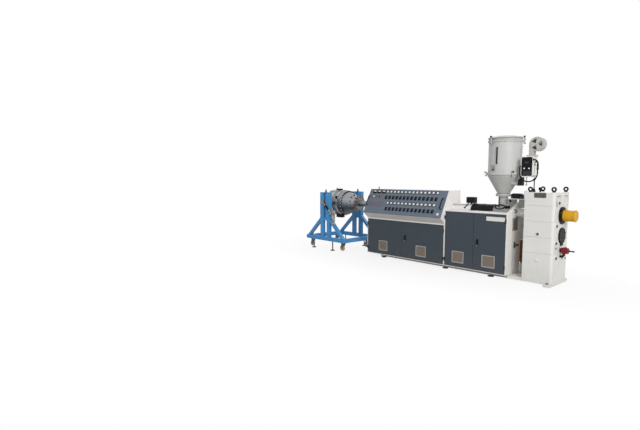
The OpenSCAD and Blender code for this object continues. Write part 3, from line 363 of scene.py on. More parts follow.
def upward(tree, vector):
    """The Z part of a vector socket."""
    return add(tree, "SeparateXYZ", Vector=vector).outputs["Z"]


def make_edge_wear():
    """Edge wear: where a bevelled normal leaves the true normal, broken by noise; also gives that normal."""
    t, source, sink = shader_group("edge_wear", {"Radius": 0.003, "Amount": 0.5}, {"Mask": 1, "Normal": 3})
    bevel = add(t, "Bevel", samples=4, Radius=source["Radius"]).outputs["Normal"]
    same = maths(t, "DOT_PRODUCT", bevel, add(t, "NewGeometry").outputs["Normal"], "VectorMath")
    edge = ramp(t, maths(t, "SUBTRACT", 1.0, same), 0.02, 0.22)
    broken = ramp(t, noise(t, object_place(t), 40.0, 4.0, 0.5), 0.52, 0.66)
    feed(t, sink["Mask"], maths(t, "MULTIPLY", maths(t, "MULTIPLY", edge, broken), source["Amount"]))
    feed(t, sink["Normal"], bevel)
    return t


def make_paint_skin():
    """Sprayed paint: tone drift, orange peel, grime near the floor, and painted shade: a dull, darker film on
    faces that look down.
    """
    t, source, sink = shader_group("paint_skin", {
        "Colour": (0.8, 0.8, 0.8, 1), "Grime Amount": 0.3, "Drift": 0.06, "Gloss": 0.38}, SKIN_OUTPUTS)
    where = object_place(t)
    slow = noise(t, where, 2.3, 4.0, 0.6)
    dust = ramp(t, noise(t, where, 14.0, 6.0, 0.7), 0.35, 0.75)
    low = ramp(t, upward(t, where), 0.45, 0.0)
    facing = upward(t, add(t, "NewGeometry").outputs["Normal"])
    # painted shade: faces that look down are mixed towards the grime colour
    downward_shade = maths(t, "MULTIPLY", ramp(t, facing, -0.2, -0.6), 0.8)
    soiled_and_shaded = maths(t, "MAXIMUM", maths(t, "MULTIPLY", low, dust), downward_shade)
    grime_and_shade_share = maths(t, "MULTIPLY", soiled_and_shaded, source["Grime Amount"])
    darker = mix_colour(t, 1.0, source["Colour"], (0.86, 0.87, 0.88, 1), "MULTIPLY")
    drift = maths(t, "MULTIPLY", ramp(t, slow, 0.3, 0.7), maths(t, "MULTIPLY", source["Drift"], 10.0))
    tone = mix_colour(t, drift, source["Colour"], darker)
    feed(t, sink["Colour"], mix_colour(t, grime_and_shade_share, tone, GRIME_AND_SHADE_COLOUR))
    dull = maths(t, "MULTIPLY", maths(t, "ADD", slow, grime_and_shade_share), 0.12)
    feed(t, sink["Roughness"], maths(t, "ADD", source["Gloss"], dull))
    feed(t, sink["Height"], noise(t, where, 420.0, 2.0, 0.5))
    return t


def make_turned_metal():
    """Machined metal: tool lines from stretched noise, stains, and painted shade that darkens faces that look
    down.
    """
    t, source, sink = shader_group("turned_metal", {
        "Colour": (0.5, 0.5, 0.5, 1), "Stain Amount": 0.35, "Soot Amount": 0.0, "Lines": (900.0, 6.0, 6.0),
        "Gloss": 0.3}, SKIN_OUTPUTS)
    where = object_place(t)
    line = noise(t, maths(t, "MULTIPLY", where, source["Lines"], "VectorMath"), 1.0, 2.0, 0.5)
    blot = ramp(t, noise(t, where, 9.0, 5.0, 0.65), 0.42, 0.72)
    stain = maths(t, "MULTIPLY", blot, source["Stain Amount"])
    bright = mix_colour(t, maths(t, "MULTIPLY", line, 0.5), source["Colour"], TOOL_LINE)
    facing = upward(t, add(t, "NewGeometry").outputs["Normal"])
    # painted shade: faces that look down, and in part those that look sideways, are darkened
    underside_shade = maths(t, "MULTIPLY", ramp(t, facing, 0.45, -0.55), source["Soot Amount"])
    feed(t, sink["Colour"], mix_colour(t, underside_shade, mix_colour(t, stain, bright, STAIN), UNDERSIDE_SHADE_COLOUR))
    dull = maths(t, "ADD", maths(t, "MULTIPLY", line, 0.16), maths(t, "MULTIPLY", stain, 0.3))
    feed(t, sink["Roughness"], maths(t, "ADD", source["Gloss"], dull))
    feed(t, sink["Height"], line)
    return t


def make_moulded():
    """Moulded plastic or rubber: a pebbled grain with pale scuffs."""
    t, source, sink = shader_group("moulded", {
        "Colour": (0.02, 0.02, 0.02, 1), "Scuff": PALE_SCUFF, "Scuff Amount": 0.3, "Grain": 700.0,
        "Gloss": 0.45}, SKIN_OUTPUTS)
    where = object_place(t)
    cell = add(t, "TexVoronoi", feature="SMOOTH_F1", Vector=where, Scale=source["Grain"])
    blot = ramp(t, noise(t, where, 22.0, 6.0, 0.7), 0.5, 0.8)
    scuff = maths(t, "MULTIPLY", blot, source["Scuff Amount"])
    feed(t, sink["Colour"], mix_colour(t, scuff, source["Colour"], source["Scuff"]))
    feed(t, sink["Roughness"], maths(t, "ADD", source["Gloss"], maths(t, "MULTIPLY", scuff, 0.5)))
    feed(t, sink["Height"], cell.outputs["Distance"])
    return t


EDGE_WEAR = make_edge_wear()
PAINT_SKIN = make_paint_skin()
TURNED_METAL = make_turned_metal()
MOULDED = make_moulded()


def finish(name, skin, values, edge, edge_radius, edge_amount, bump, bump_size=0.0004, **sockets):
    """A material: a skin group, wear towards the edge colour, plain values on the shader's own sockets."""
    material = bpy.data.materials.new(name)
    material.use_nodes = True
    t = material.node_tree
    shader = t.nodes["Principled BSDF"]
    for socket, value in sockets.items():
        shader.inputs[socket.replace("_", " ")].default_value = value
    surface = add(t, "Group", node_tree=skin)
    for socket, value in values.items():
        surface.inputs[socket].default_value = value
    wear = add(t, "Group", node_tree=EDGE_WEAR)
    wear.inputs["Radius"].default_value = edge_radius
    wear.inputs["Amount"].default_value = edge_amount
    colour = mix_colour(t, wear.outputs["Mask"], surface.outputs["Colour"], edge)
    feed(t, shader.inputs["Base Color"], colour)
    feed(t, shader.inputs["Roughness"], surface.outputs["Roughness"])
    relief = add(t, "Bump", Strength=bump, Distance=bump_size, Height=surface.outputs["Height"],
                 Normal=wear.outputs["Normal"])
    feed(t, shader.inputs["Normal"], relief.outputs["Normal"])
    return material


def paint(name, colour, edge, amount, gloss=0.36, grime_and_shade=0.0, drift=0.05, coat=0.0, radius=0.003, shine=0.3):
    """Sprayed enamel: its colour and, in an amount, the colour that shows at its edges, as display values."""
    values = {"Colour": linear(*colour), "Grime Amount": grime_and_shade, "Drift": drift, "Gloss": gloss}
    return finish(name, PAINT_SKIN, values, linear(*edge), radius, amount, 0.06, Coat_Weight=coat,
                  Coat_Roughness=0.2, Specular_IOR_Level=shine)


def metal(name, colour, gloss, stain, lines=(120.0, 120.0, 120.0), metallic=1.0, underside_shade=0.0):
    """Bare metal of a colour in display values, with tool lines."""
    values = {"Colour": linear(*colour), "Stain Amount": stain, "Soot Amount": underside_shade, "Lines": lines,
              "Gloss": gloss}
    return finish(name, TURNED_METAL, values, BRIGHT_EDGE, 0.002, 0.5, 0.08, 0.0003, Metallic=metallic)


def plastic(name, colour, pale=None, gloss=0.4, scuff=0.25, grain=700.0, shine=0.2):
    """Moulded plastic or rubber: its colour and the colour of its scuffs, as display values."""
    worn = linear(*pale) if pale else PALE_SCUFF
    values = {"Colour": linear(*colour), "Scuff": worn, "Scuff Amount": scuff, "Grain": grain, "Gloss": gloss}
    return finish(name, MOULDED, values, worn, 0.002, 0.4, 0.1, Specular_IOR_Level=shine)


PRIMER = (150, 148, 142)
white_paint = paint("white_paint", (238, 235, 231), PRIMER, 0.25, grime_and_shade=0.3)
# painted shade: the base frame's white paint is given a grey colour and a strong grime and shade amount for
# the shade under the cabinets
shaded_base_paint = paint("shaded_base_paint", (170, 168, 163), PRIMER, 0.3, grime_and_shade=0.6)
gearbox_paint = paint("gearbox_paint", (222, 221, 217), PRIMER, 0.2, 0.34, 0.22, radius=0.004)
slate_paint = paint("slate_paint", (64, 72, 80), (104, 109, 114), 0.25, 0.46, 0.25, shine=0.22)
panel_paint = paint("panel_paint", (106, 118, 133), (140, 146, 152), 0.25, 0.48, shine=0.22)
blue_paint = paint("blue_paint", (70, 147, 206), (120, 132, 142), 0.35, grime_and_shade=0.3)
hopper_paint = paint("hopper_paint", (194, 194, 191), (165, 165, 162), 0.15, 0.34, drift=0.07, coat=0.1)
cone_paint = paint("cone_paint", (180, 180, 176), (150, 150, 147), 0.15, 0.38, drift=0.07)
blower_paint = paint("blower_paint", (184, 183, 178), (165, 164, 158), 0.15)
cast_paint = paint("cast_paint", (176, 176, 173), (110, 110, 108), 0.3, 0.46, drift=0.1)
red_paint = paint("red_paint", (136, 16, 24), (120, 60, 60), 0.25, 0.32)
brown_paint = paint("brown_paint", (122, 74, 26), (150, 120, 90), 0.3, 0.4, 0.2)
black_paint = paint("black_paint", (22, 23, 25), (74, 74, 74), 0.3, 0.4, shine=0.12)
frame_grey = paint("frame_grey", (168, 166, 163), (190, 190, 188), 0.2, 0.38)
# the last number of turned_steel and band_steel sets their painted underside shade
turned_steel = metal("turned_steel", (168, 171, 178), 0.32, 0.22, (900.0, 6.0, 6.0), 0.8, 0.8)
dark_steel = metal("dark_steel", (84, 84, 86), 0.42, 0.5, (60.0, 60.0, 60.0), 0.85)
zinc_steel = metal("zinc_steel", (186, 186, 182), 0.26, 0.15)
band_steel = metal("band_steel", (208, 205, 200), 0.36, 0.3, (40.0, 40.0, 700.0), 0.8, 0.25)
brass = metal("brass", (196, 154, 78), 0.28, 0.25)
name_plate = metal("name_plate", (74, 66, 66), 0.35, 0.4, (4.0, 4.0, 300.0), 0.5)
yellow_plastic = plastic("yellow_plastic", (207, 154, 28), (196, 136, 24), 0.36, 0.2)
black_plastic = plastic("black_plastic", (19, 19, 21), gloss=0.42, scuff=0.15, shine=0.1)
black_rubber = plastic("black_rubber", (24, 24, 24), gloss=0.6, grain=400.0)
bezel_plastic = plastic("bezel_plastic", (46, 48, 52), scuff=0.1)
display_white = plastic("display_white", (238, 238, 234), (205, 205, 200), 0.22, 0.05)
nylon = plastic("nylon", (196, 178, 142), (150, 136, 108), 0.45, 0.35)
tan_mesh = plastic("tan_mesh", (128, 117, 106), (150, 140, 129), 0.6, 0.3)
cream_plate = plastic("cream_plate", (222, 219, 210), (200, 196, 184), scuff=0.1)
grey_plastic = plastic("grey_plastic", (92, 93, 95), (150, 150, 150), scuff=0.15)
glass_black = plastic("glass_black", (30, 27, 30), gloss=0.12, scuff=0.05)
red_plastic = plastic("red_plastic", (176, 44, 40), (150, 70, 66), 0.3)
green_plastic = plastic("green_plastic", (52, 112, 82), (84, 130, 104), 0.3)

NODE_FINISH = {
    white_paint: "console_body cabinet_body barrel_guard dryer_box dryer_bracket throat_bracket",
    shaded_base_paint: "base_frame",
    gearbox_paint: "gearbox_housing thrust_housing",
    slate_paint: "console_door_left console_door_right cabinet_door_left cabinet_door_right",
    panel_paint: "console_panel",
    blue_paint: "near_trestle far_trestle trolley_crossbeams",
    hopper_paint: "hopper_cylinder",
    cone_paint: "hopper_cone hopper_lid",
    blower_paint: "dryer_blower",
    yellow_plastic: "screw_end_cap",
    red_paint: "oil_pump",
    brown_paint: "coupling_guard",
    cast_paint: "feed_section hopper_clamps",
    turned_steel: "barrel die_adapter die_body die_bush die_mandrel",
    dark_steel: "levelling_feet isolator_base isolator_lever die_trunnions adjusting_screws "
                "caster_fork_1 caster_fork_2 caster_fork_3 caster_fork_4",
    band_steel: "heater_bands",
    black_plastic: "panel_switches panel_bow_handles door_hinges dryer_box_panel",
    black_paint: "heater_cover terminal_box gearbox_covers lifting_eyes oil_pipes gate_cover",
    black_rubber: "hot_air_elbow dryer_hoses",
    glass_black: "sight_glass",
    bezel_plastic: "panel_displays",
    tan_mesh: "side_vent",
    nylon: "caster_wheel_1 caster_wheel_2 caster_wheel_3 caster_wheel_4",
}
for material, names in NODE_FINISH.items():
    for node_name in names.split():
        mesh = nodes[node_name].data
        mesh.materials.clear()
        mesh.materials.append(material)


# Fasteners

def hex_bolt(size):
    """A hexagon bolt head with a bevelled crown on a round washer; size is the thread diameter."""
    head = np.array([(0, 0.7), (0.72, 0.7), (0.88, 0.58), (0.88, 0.16)])
    washer = np.array([(0.5, 0.16), (1.15, 0.16), (1.15, 0), (0.5, 0)])
    return join(lathe(head * size, 6), lathe(washer * size, 16))


def cap_screw(size):
    """A round socket screw head with a bevelled edge and a sunk middle; size is the thread diameter."""
    head = np.array([(0, 0.45), (0.42, 0.45), (0.46, 1), (0.68, 1), (0.75, 0.93), (0.75, 0)])
    return lathe(head * size, 12)


def knob(radius, height, neck=0.45):
    """A round knob on a neck, its top edge rounded; heights run from its seat."""
    profile = np.array([(0, 1), (0.75, 1), (0.95, 0.94), (1, 0.85), (1, 0.5), (0.9, 0.42), (neck, 0.38),
                        (neck, 0), (0, 0)])
    return lathe(profile * [radius, height], 20)


# Hose and lead of the dryer

HOSE_Y, HOSE_LEFT, HOSE_RIGHT = -150.0, 77.0, 359.0
HOSE_TURN_Z, HOSE_DOWN, HOSE_RISE = 1797.0, 83.0, 53.0
HOSE_TURN = (HOSE_RIGHT - HOSE_LEFT) / 2
HOSE_LENGTH = HOSE_DOWN + math.pi * HOSE_TURN + HOSE_RISE
HOSE_MEAN_R, HOSE_RIB, HOSE_PITCH = 10.2, 0.8, 6.5
LEAD_X, LEAD_TOP, LEAD_LOW, LEAD_R = 315.95, 1688.0, 1540.0, 8.0
SLEEVE_TURN, SLEEVE_HALF = math.radians(134), 26.0


def hose_at(s):
    """The hose at lengths s: down from the left elbow, round a half circle and up to the right boot."""
    a = np.clip((s - HOSE_DOWN) / HOSE_TURN, 0, math.pi)
    x = HOSE_LEFT + HOSE_TURN * (1 - np.cos(a))
    z = (HOSE_TURN_Z + np.maximum(HOSE_DOWN - s, 0) - HOSE_TURN * np.sin(a)
         + np.maximum(s - HOSE_LENGTH + HOSE_RISE, 0))
    return np.stack([x, np.full(len(s), HOSE_Y), z], -1)


def elbow(centre_x, centre_z, bend, first, last):
    """A bend's centre line in the hose's plane: a circle about a centre between two angles in degrees."""
    a = np.radians(np.linspace(first, last, 15))
    return np.stack([centre_x + bend * np.cos(a), np.full(15, HOSE_Y), centre_z + bend * np.sin(a)], -1)


fine_steps = np.linspace(0, HOSE_LENGTH, 541)
hose_radius = HOSE_MEAN_R + HOSE_RIB * np.cos(2 * math.pi * fine_steps / HOSE_PITCH)
hose = piece("dryer_hose", sweep(hose_at(fine_steps), round_section(1.0, 14), up=BACK, scale=hose_radius),
             black_rubber, smooth_angle=60)
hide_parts("dryer_hoses")

lead_path = np.linspace((LEAD_X, HOSE_Y, LEAD_TOP), (LEAD_X, HOSE_Y, LEAD_LOW), 20)
lead = piece("dryer_lead", sweep(lead_path, round_section(LEAD_R, 14), up=BACK), black_rubber)

sleeve_steps = np.linspace(-SLEEVE_HALF, SLEEVE_HALF, 17)
sleeve_radius = np.interp(np.abs(sleeve_steps), [0, 20, 24, SLEEVE_HALF], [17, 16.5, 15.5, 12.5])
sleeve = piece("hose_sleeve", join(
    sweep(hose_at(HOSE_DOWN + HOSE_TURN * SLEEVE_TURN + sleeve_steps), round_section(1.0, 18), up=BACK,
          scale=sleeve_radius),
    put(lathe([(0, 0), (12, 0), (12, 10), (10, 16), (0, 16)], 18), (LEAD_X, HOSE_Y, LEAD_TOP + 6), DOWN)),
    black_plastic)

RIB_COUNT, RIB_PITCH = 9, 10.0
rib_profile = np.stack([np.tile([13.5, 16.5, 16.5, 13.5], RIB_COUNT),
                        (RIB_PITCH * np.arange(RIB_COUNT)[:, None] + [1, 3, 7, 9]).ravel()], -1)
left_clip = [(9, 0), (14.5, 0), (15.5, 2), (15.5, 14), (14.5, 16), (9, 16)]
right_boot = np.concatenate([[(9, 0)], rib_profile, [(13.5, 100), (9, 100)]])
left_bend = np.concatenate([elbow(BOX_LEFT, 1900, 20, 85, 180),
                            [(HOSE_LEFT, HOSE_Y, 1885), (HOSE_LEFT, HOSE_Y, 1872)]])
right_bend = np.concatenate([elbow(BOX_RIGHT, 1945, 70, 92, 0), [(HOSE_RIGHT, HOSE_Y, 1940)]])
piece("hose_elbows", join(
    sweep(left_bend, round_section(12.5, 16), up=BACK), sweep(right_bend, round_section(12.5, 16), up=BACK),
    put(lathe(left_clip, 20), (HOSE_LEFT, HOSE_Y, 1868)),
    put(lathe(right_boot, 20), (HOSE_RIGHT, HOSE_Y, 1846)),
    put(disc(20, 7, 2, 2, 20), (BOX_RIGHT, HOSE_Y, 2015), RIGHT)), black_rubber)
gland_foot = lathe([(0, 0), (27, 0), (27, 6), (25, 8), (0, 8)], 24)
gland_nut = lathe([(0, 8), (24, 8), (24, 24), (21, 27), (0, 27)], 6)
gland_cone = lathe([(0, 27), (19, 27), (17, 36), (12, 52), (10, 58), (0, 58)], 20)
fit("lead_gland", black_plastic, join(gland_foot, gland_nut, gland_cone), (LEAD_X, HOSE_Y, GEAR_TOP))

# Doors

VENT_Z = 273.0
HINGE_Y, HINGE_LOW, HINGE_HALF = -389.3, 202.0, 30.0


def louvres(width, height, count, depth):
    """A row of sloping blades: a saw-tooth section of (out, up) pairs carried along x, closed behind."""
    up = -height / 2 + height * np.arange(count) / count
    low = np.stack([np.full(count, depth), up], -1)
    high = np.stack([np.full(count, 0.15 * depth), up + 0.8 * height / count], -1)
    teeth = np.stack([low, high], 1).reshape(-1, 2)
    section = np.concatenate([teeth, [[-1.5, height / 2], [-1.5, -height / 2]]])
    return sweep([(-width / 2, 0, 0), (0, 0, 0), (width / 2, 0, 0)], section, up=(0, 1, 0))


vent_frame = border(240, 217, 5, [(0, 0), (0, 3), (1, 4), (15.5, 4), (17, 2.5), (17, -3), (16, -3), (16, 0)])
vent_mesh = louvres(207, 184, 15, 4.5)
hinge_dome = lathe([(0, 4.5), (5, 4), (8, 2.4), (9.6, 0), (9.6, -4), (8.8, -4)], 16)
for body, vent_x, hinge_x, hinge_high in (
        ("console_door_left", -2665, -3108.5, 719), ("console_door_right", -1697, -1194.5, 719),
        ("cabinet_door_left", -887, -1165.5, 991), ("cabinet_door_right", -303, -14.5, 991)):
    fit(body + "_vent_frame", frame_grey, vent_frame, (vent_x, DOOR_Y - 5, VENT_Z), FRONT, body)
    fit(body + "_vent_mesh", tan_mesh, vent_mesh, (vent_x, DOOR_Y - 1, VENT_Z), FRONT, body)
    fit(body + "_vent_screws", zinc_steel, cap_screw(4), corners(vent_x, VENT_Z, 111, 99.5, DOOR_Y - 9),
        FRONT, body)
    hinges = np.array([(hinge_x, HINGE_Y, z) for z in (HINGE_LOW, hinge_high)])
    fit(body + "_hinge_tops", black_plastic, hinge_dome, hinges + [0, 0, HINGE_HALF], UP)
    fit(body + "_hinge_ends", black_plastic, hinge_dome, hinges - [0, 0, HINGE_HALF], DOWN, body)

handle_foot = plate(31, 130, 11, [(0, 0), (0, 6), (2, 8.4)])
handle_grip = put(plate(20, 92, 6, [(0, 7), (0, 17), (2, 22.5), (5, 24)]), (0, 12.5, 0))
handle_lock = lathe([(0, 10.5), (3, 10.5), (3.5, 11.6), (8, 11.6), (9, 10.5), (9, 7), (0, 7)], 20)
for body, x, z in (("console_door_right", -2090, 495), ("cabinet_door_right", -515, 580)):
    fit(body + "_handle", black_plastic, join(handle_foot, handle_grip), (x, DOOR_Y, z), FRONT, body)
    fit(body + "_lock", zinc_steel, handle_lock, (x, DOOR_Y, z - 50), FRONT, body)

BOARD_X, BOARD_Z = -197.0, 1019.5
fit("door_board", cream_plate, slab(328, 73, 2.5, 3), (BOARD_X, DOOR_Y, BOARD_Z), FRONT, "cabinet_door_right")
fit("door_board_screws", zinc_steel, cap_screw(5), corners(BOARD_X, BOARD_Z, 155, 28, DOOR_Y - 2.5), FRONT,
    "cabinet_door_right")

# Console desk: two rows of displays with a switch under each, meters, buttons and lamps

DISPLAY_STEP, UPPER_ROW, LOWER_ROW = 94.5, 503.0, 244.0
LEVER_BELOW, RIM_BELOW = 146.0, 128.0       # a switch's lever and rim under its display, down the slope
row_x = CONSOLE_RIGHT - 208 - DISPLAY_STEP * np.arange(14)
display_x = np.concatenate([row_x, row_x[:13]])
display_up = np.repeat([UPPER_ROW, LOWER_ROW], [14, 13])
display_places = on_desk(display_x, display_up)
meter_x = CONSOLE_LEFT + 145 + 126 * np.arange(3)
lamp_places = on_desk(np.tile(-3002 + 66 * np.arange(6), 2), np.repeat([236.0, 178.0], 6))
button_places = on_desk([-3066, -2960, -2878, -2805, -2731], [382, 381, 384, 380, 374])
edge_x = np.linspace(CONSOLE_LEFT + 22, CONSOLE_RIGHT - 22, 9)
button = knob(15, 20, 0.8)
for name, shape, places, material in (
        ("display_bezels", border(66, 62, 5, [(0, 0), (0, 8), (1.5, 10), (8, 10), (9.5, 8), (9.5, 0)], 3),
         display_places, bezel_plastic),
        ("display_windows", plate(45, 40, 2, [(0, 6), (0, 8.6), (0.6, 9)], 2), display_places, display_white),
        ("switch_levers", plate(13, 58, 5, [(0, 7), (0, 21), (2, 24)], 3),
         on_desk(display_x, display_up - LEVER_BELOW), black_plastic),
        ("switch_rims", collar(15, 20, 12, base=8, turns=20), on_desk(display_x, display_up - RIM_BELOW),
         grey_plastic),
        ("meter_frames", border(94, 82, 6, [(0, 0), (0, 9), (2, 11), (8, 11), (10, 8), (10, 0)], 4),
         on_desk(meter_x, UPPER_ROW), black_plastic),
        ("meter_faces", plate(66, 26, 2, [(0, 6), (0, 8.8), (0.6, 9.2)], 2), on_desk(meter_x, UPPER_ROW + 8),
         display_white),
        ("red_buttons", button, button_places[[0, 2, 4]], red_plastic),
        ("white_button", button, button_places[1], display_white),
        ("black_button", button, button_places[3], black_plastic),
        ("button_rings", collar(12, 20, 6, 3), button_places, zinc_steel),
        ("small_lamps", knob(9, 12, 0.9), lamp_places, red_plastic),
        ("small_lamp_rings", collar(8, 13, 4, turns=16), lamp_places, grey_plastic),
        ("desk_socket", plate(42, 42, 5, [(0, 0), (0, 5), (2, 7), (8, 7), (10, 5)]), on_desk(-1258, 67),
         display_white),
        ("desk_screws", cap_screw(6), on_desk(np.tile(edge_x, 2), np.repeat([20.0, 542.0], 9)), zinc_steel)):
    fit(name, material, shape, places, DESK_OUT)
needle = plate(2.2, 22, 0.8, [(0, 9), (0, 9.9), (0.4, 10.2)], 2)
piece("meter_needles", put(needle, on_desk(meter_x - 8, UPPER_ROW + 5), DESK_OUT, 0.4), black_paint)
stud = lathe([(0, 54), (9, 54), (13, 49), (13, 34), (7, 30), (7, 8), (18, 6), (18, 0), (0, 0)], 20)
fit("desk_stud", black_plastic, stud, (-2913, -248, 1482))

# Barrel covers, feed section and throat

LOOP_CENTRE, LOOP_REACH = np.array([-248.0, -132.0, 1217.0]), np.array([86.0, 42.0, 34.0])


def arch_plate(inner, half, top, thick):
    """A plate about a half circle: each point lies between the circle and the rectangle round it."""
    a = np.linspace(0, math.pi, 41)
    reach = np.minimum(half / np.maximum(np.abs(np.cos(a)), 1e-6), top / np.maximum(np.sin(a), 1e-6))
    radius = np.stack([np.full(41, inner), reach, reach, np.full(41, inner)])
    height = np.broadcast_to(np.array([0, 0, thick, thick])[:, None], radius.shape)
    points = np.stack([radius * np.cos(a), radius * np.sin(a), height], -1)
    return points.reshape(-1, 3), grid_faces(4, 41, wrap_rows=True)


piece("barrel_conduit", bar([(-1180, -106, 1226), (-1020, -104, 1226), (-896, -84, 1234)], 7), zinc_steel)
piece("terminal_leg", join(
    bar([(-872, -62, 1262), (-928, -104, 1172)], 9),
    put(disc(17, 6, 2, 2, 18), (-931, -106, 1168), (0, -0.9, 0.44))), black_paint)
fit("guard_end_plate", white_paint, arch_plate(118.5, 158, 160, 4), (CONSOLE_RIGHT, 0, AXIS_Z), RIGHT)
fit("terminal_seat", black_paint, slab(60, 50, 11, 6, 2), (-855, 0, 1229))
fit("terminal_lid", black_paint, plate(164, 120, 24, [(0, 0), (0, 4), (3, 7), (30, 9)]), (-855, 0, 1359))
fit("cover_screws", zinc_steel, cap_screw(8),
    [(x, y, 1138) for x in (-789, -598, -408, -1169, -996, -823) for y in (-156, 141)])
turn = 2 * math.pi * np.arange(64) / 64
loop = LOOP_CENTRE + LOOP_REACH * np.stack([np.cos(turn), np.sin(turn), np.sin(turn)], -1)
piece("cooling_loop", join(
    sweep(loop, round_section(11, 14), closed=True), bar([(-334, -132, 1217), (-336, -66, 1188)], 9),
    bar([(-162, -132, 1217), (-160, -66, 1188)], 9)), black_rubber)
piece("cooling_valve", join(
    put(plate(80, 32, 5, [(0, 0), (0, 34), (3, 38)]), (-140, -64, 1221), FRONT),
    bar([(-120, -82, 1214), (-120, -58, 1180)], 10), put(knob(13, 26), (-140, -102, 1221), FRONT)),
    black_plastic)
piece("shelf_gussets", join(
    put(slab(156, 222, 8, 3), (-98, 24, 1245), FRONT), put(slab(158, 150, 8, 3), (84, 24, 1281), FRONT)),
    cast_paint)
fit("shelf_knob", black_plastic, knob(18, 48), (-98, -75, 1356), DOWN)
piece("throat_rod", bar([(-300, -68, 1206), (-300, -68, 1399)], 9), black_paint)
fit("throat_bolts", zinc_steel, hex_bolt(9), circle(10, 113, (HOPPER_X, 0, 1442), UP, 0.2))
fit("feed_bolts", dark_steel, hex_bolt(10), circle(10, 102, (-40, 0, AXIS_Z), RIGHT), RIGHT)
fit("gate_screws", zinc_steel, cap_screw(7), [(x, -115, 1392) for x in (-56, 96)], FRONT)
fit("shelf_bolts", zinc_steel, hex_bolt(8), [(140, y, 1368) for y in (-112, -38)])

# Right wall and the gap beside the gearbox

HOOK_Y, HOOK_Z, HOOK_R = -108.0, 1152.0, 24.0
hook_turn = np.radians(np.linspace(90, -150, 17))
hook_bend = np.stack([10 + HOOK_R * np.cos(hook_turn), np.full(17, HOOK_Y),
                      HOOK_Z + HOOK_R * np.sin(hook_turn)], -1)
hook_root = [(0, HOOK_Y, HOOK_Z + HOOK_R), (8, HOOK_Y, HOOK_Z + HOOK_R)]
piece("wall_hook", join(
    sweep(np.concatenate([hook_root, hook_bend]), round_section(5.5), up=BACK),
    put(disc(14, 4, 2, 2, 18), hook_root[0], RIGHT)), black_paint)
fit("isolator_screws", zinc_steel, cap_screw(6), [(10, y, z) for y in (-98, -70) for z in (528, 612)], RIGHT)
fit("side_vent_frame", frame_grey, border(188, 219, 4, [(0, -8), (0, 1), (1, 2), (13, 2), (14, 1), (14, -1)]),
    (10, -90, 930), RIGHT)
piece("base_cover", join(
    put(slab(228, 42, 2, 3), (121, GEAR_FRONT, 53), FRONT), put(slab(228, 446, 2, 3), (121, -84, 75)),
    put(slab(224, 152, 2, 3), (124, 142, 154), FRONT)), white_paint)
piece("coupling_screen", join(
    put(slab(250, 474, 4, 6), (90, 222, 873), FRONT),
    *[bar([(-35, 214, z), (215, 214, z)], 10) for z in (868, 1098)]), cast_paint)
fit("coupling_wing", brown_paint, slab(62, 398, 4, 6), (-17, 222, 434), FRONT)

# Gearbox

PLATE_X, PLATE_Z, PUMP_Z = 478.0, 1441.0, 560.0
END_PLUGS = [(GEAR_END, y, z) for y, z in ((-148, 1323), (-205, 962), (-209, 689), (-187, 449))]
FRONT_PLUGS = [(468, GEAR_FRONT, z) for z in (826, 398)]
fit("gearbox_plate", name_plate, slab(182, 78, 2, 4), (PLATE_X, GEAR_FRONT, PLATE_Z), FRONT)
fit("gearbox_plate_pins", zinc_steel, knob(3.5, 3, 1.0), corners(PLATE_X, PLATE_Z, 83, 31, GEAR_FRONT - 2),
    FRONT)
piece("gearbox_bosses", join(
    put(lathe([(0, 9), (34, 9), (40, 7), (45, 0), (45, -4), (0, -4)], 32), END_PLUGS, RIGHT),
    put(lathe([(0, 9), (24, 9), (28, 7), (31, 0), (31, -4), (0, -4)], 28), FRONT_PLUGS, FRONT)),
    gearbox_paint)
piece("gearbox_plugs", join(
    put(hex_bolt(22), np.array(END_PLUGS) + [9, 0, 0], RIGHT),
    put(hex_bolt(14), [(GEAR_END, y, z) for y, z in ((-184, 604), (100, 422), (232, 406))], RIGHT),
    put(hex_bolt(18), np.array(FRONT_PLUGS[0]) - [0, 9, 0], FRONT)), dark_steel)
piece("cover_ring_screws", join(
    put(cap_screw(10), circle(8, 116, (GEAR_END + 25, 0, AXIS_Z), RIGHT, 0.39), RIGHT),
    put(cap_screw(10), circle(8, 112, (GEAR_END + 22, 20, 795), RIGHT, 0.39), RIGHT)), dark_steel)
fit("cap_band", black_plastic, lathe([(92.2, 0), (94.4, 1.5), (94.4, 10.5), (92.2, 12)], 48),
    (GEAR_END + 26, 0, AXIS_Z), RIGHT)
fit("pump_screws", dark_steel, cap_screw(10), [(775, y, PUMP_Z + z) for y in (-40, 40) for z in (-40, 40)],
    RIGHT)
piece("pump_end", join(
    put(lathe([(0, 16), (20, 16), (24, 13), (26, 0), (0, 0)], 6), (819, 0, PUMP_Z), RIGHT),
    put(collar(9, 15, 16, turns=6), (884, 0, PUMP_Z), RIGHT)), dark_steel)
fit("gearbox_anchor_nuts", dark_steel, hex_bolt(20), [(647, y, 50) for y in (-338, 338)])
tube = np.radians(np.arange(0, 361, 24))
fit("lifting_rings", black_paint, lathe(np.stack([28 + 13 * np.cos(tube), 13 * np.sin(tube)], -1), 32),
    [(x, y, GEAR_TOP + 46) for x in (301, 657) for y in (-248, 248)], FRONT)
fit("breather_cap", black_plastic, lathe([(0, 12), (16, 12), (24, 6), (25.5, 0), (25.5, -26), (23, -28)], 20),
    (426, -180, 1555))

# Hopper

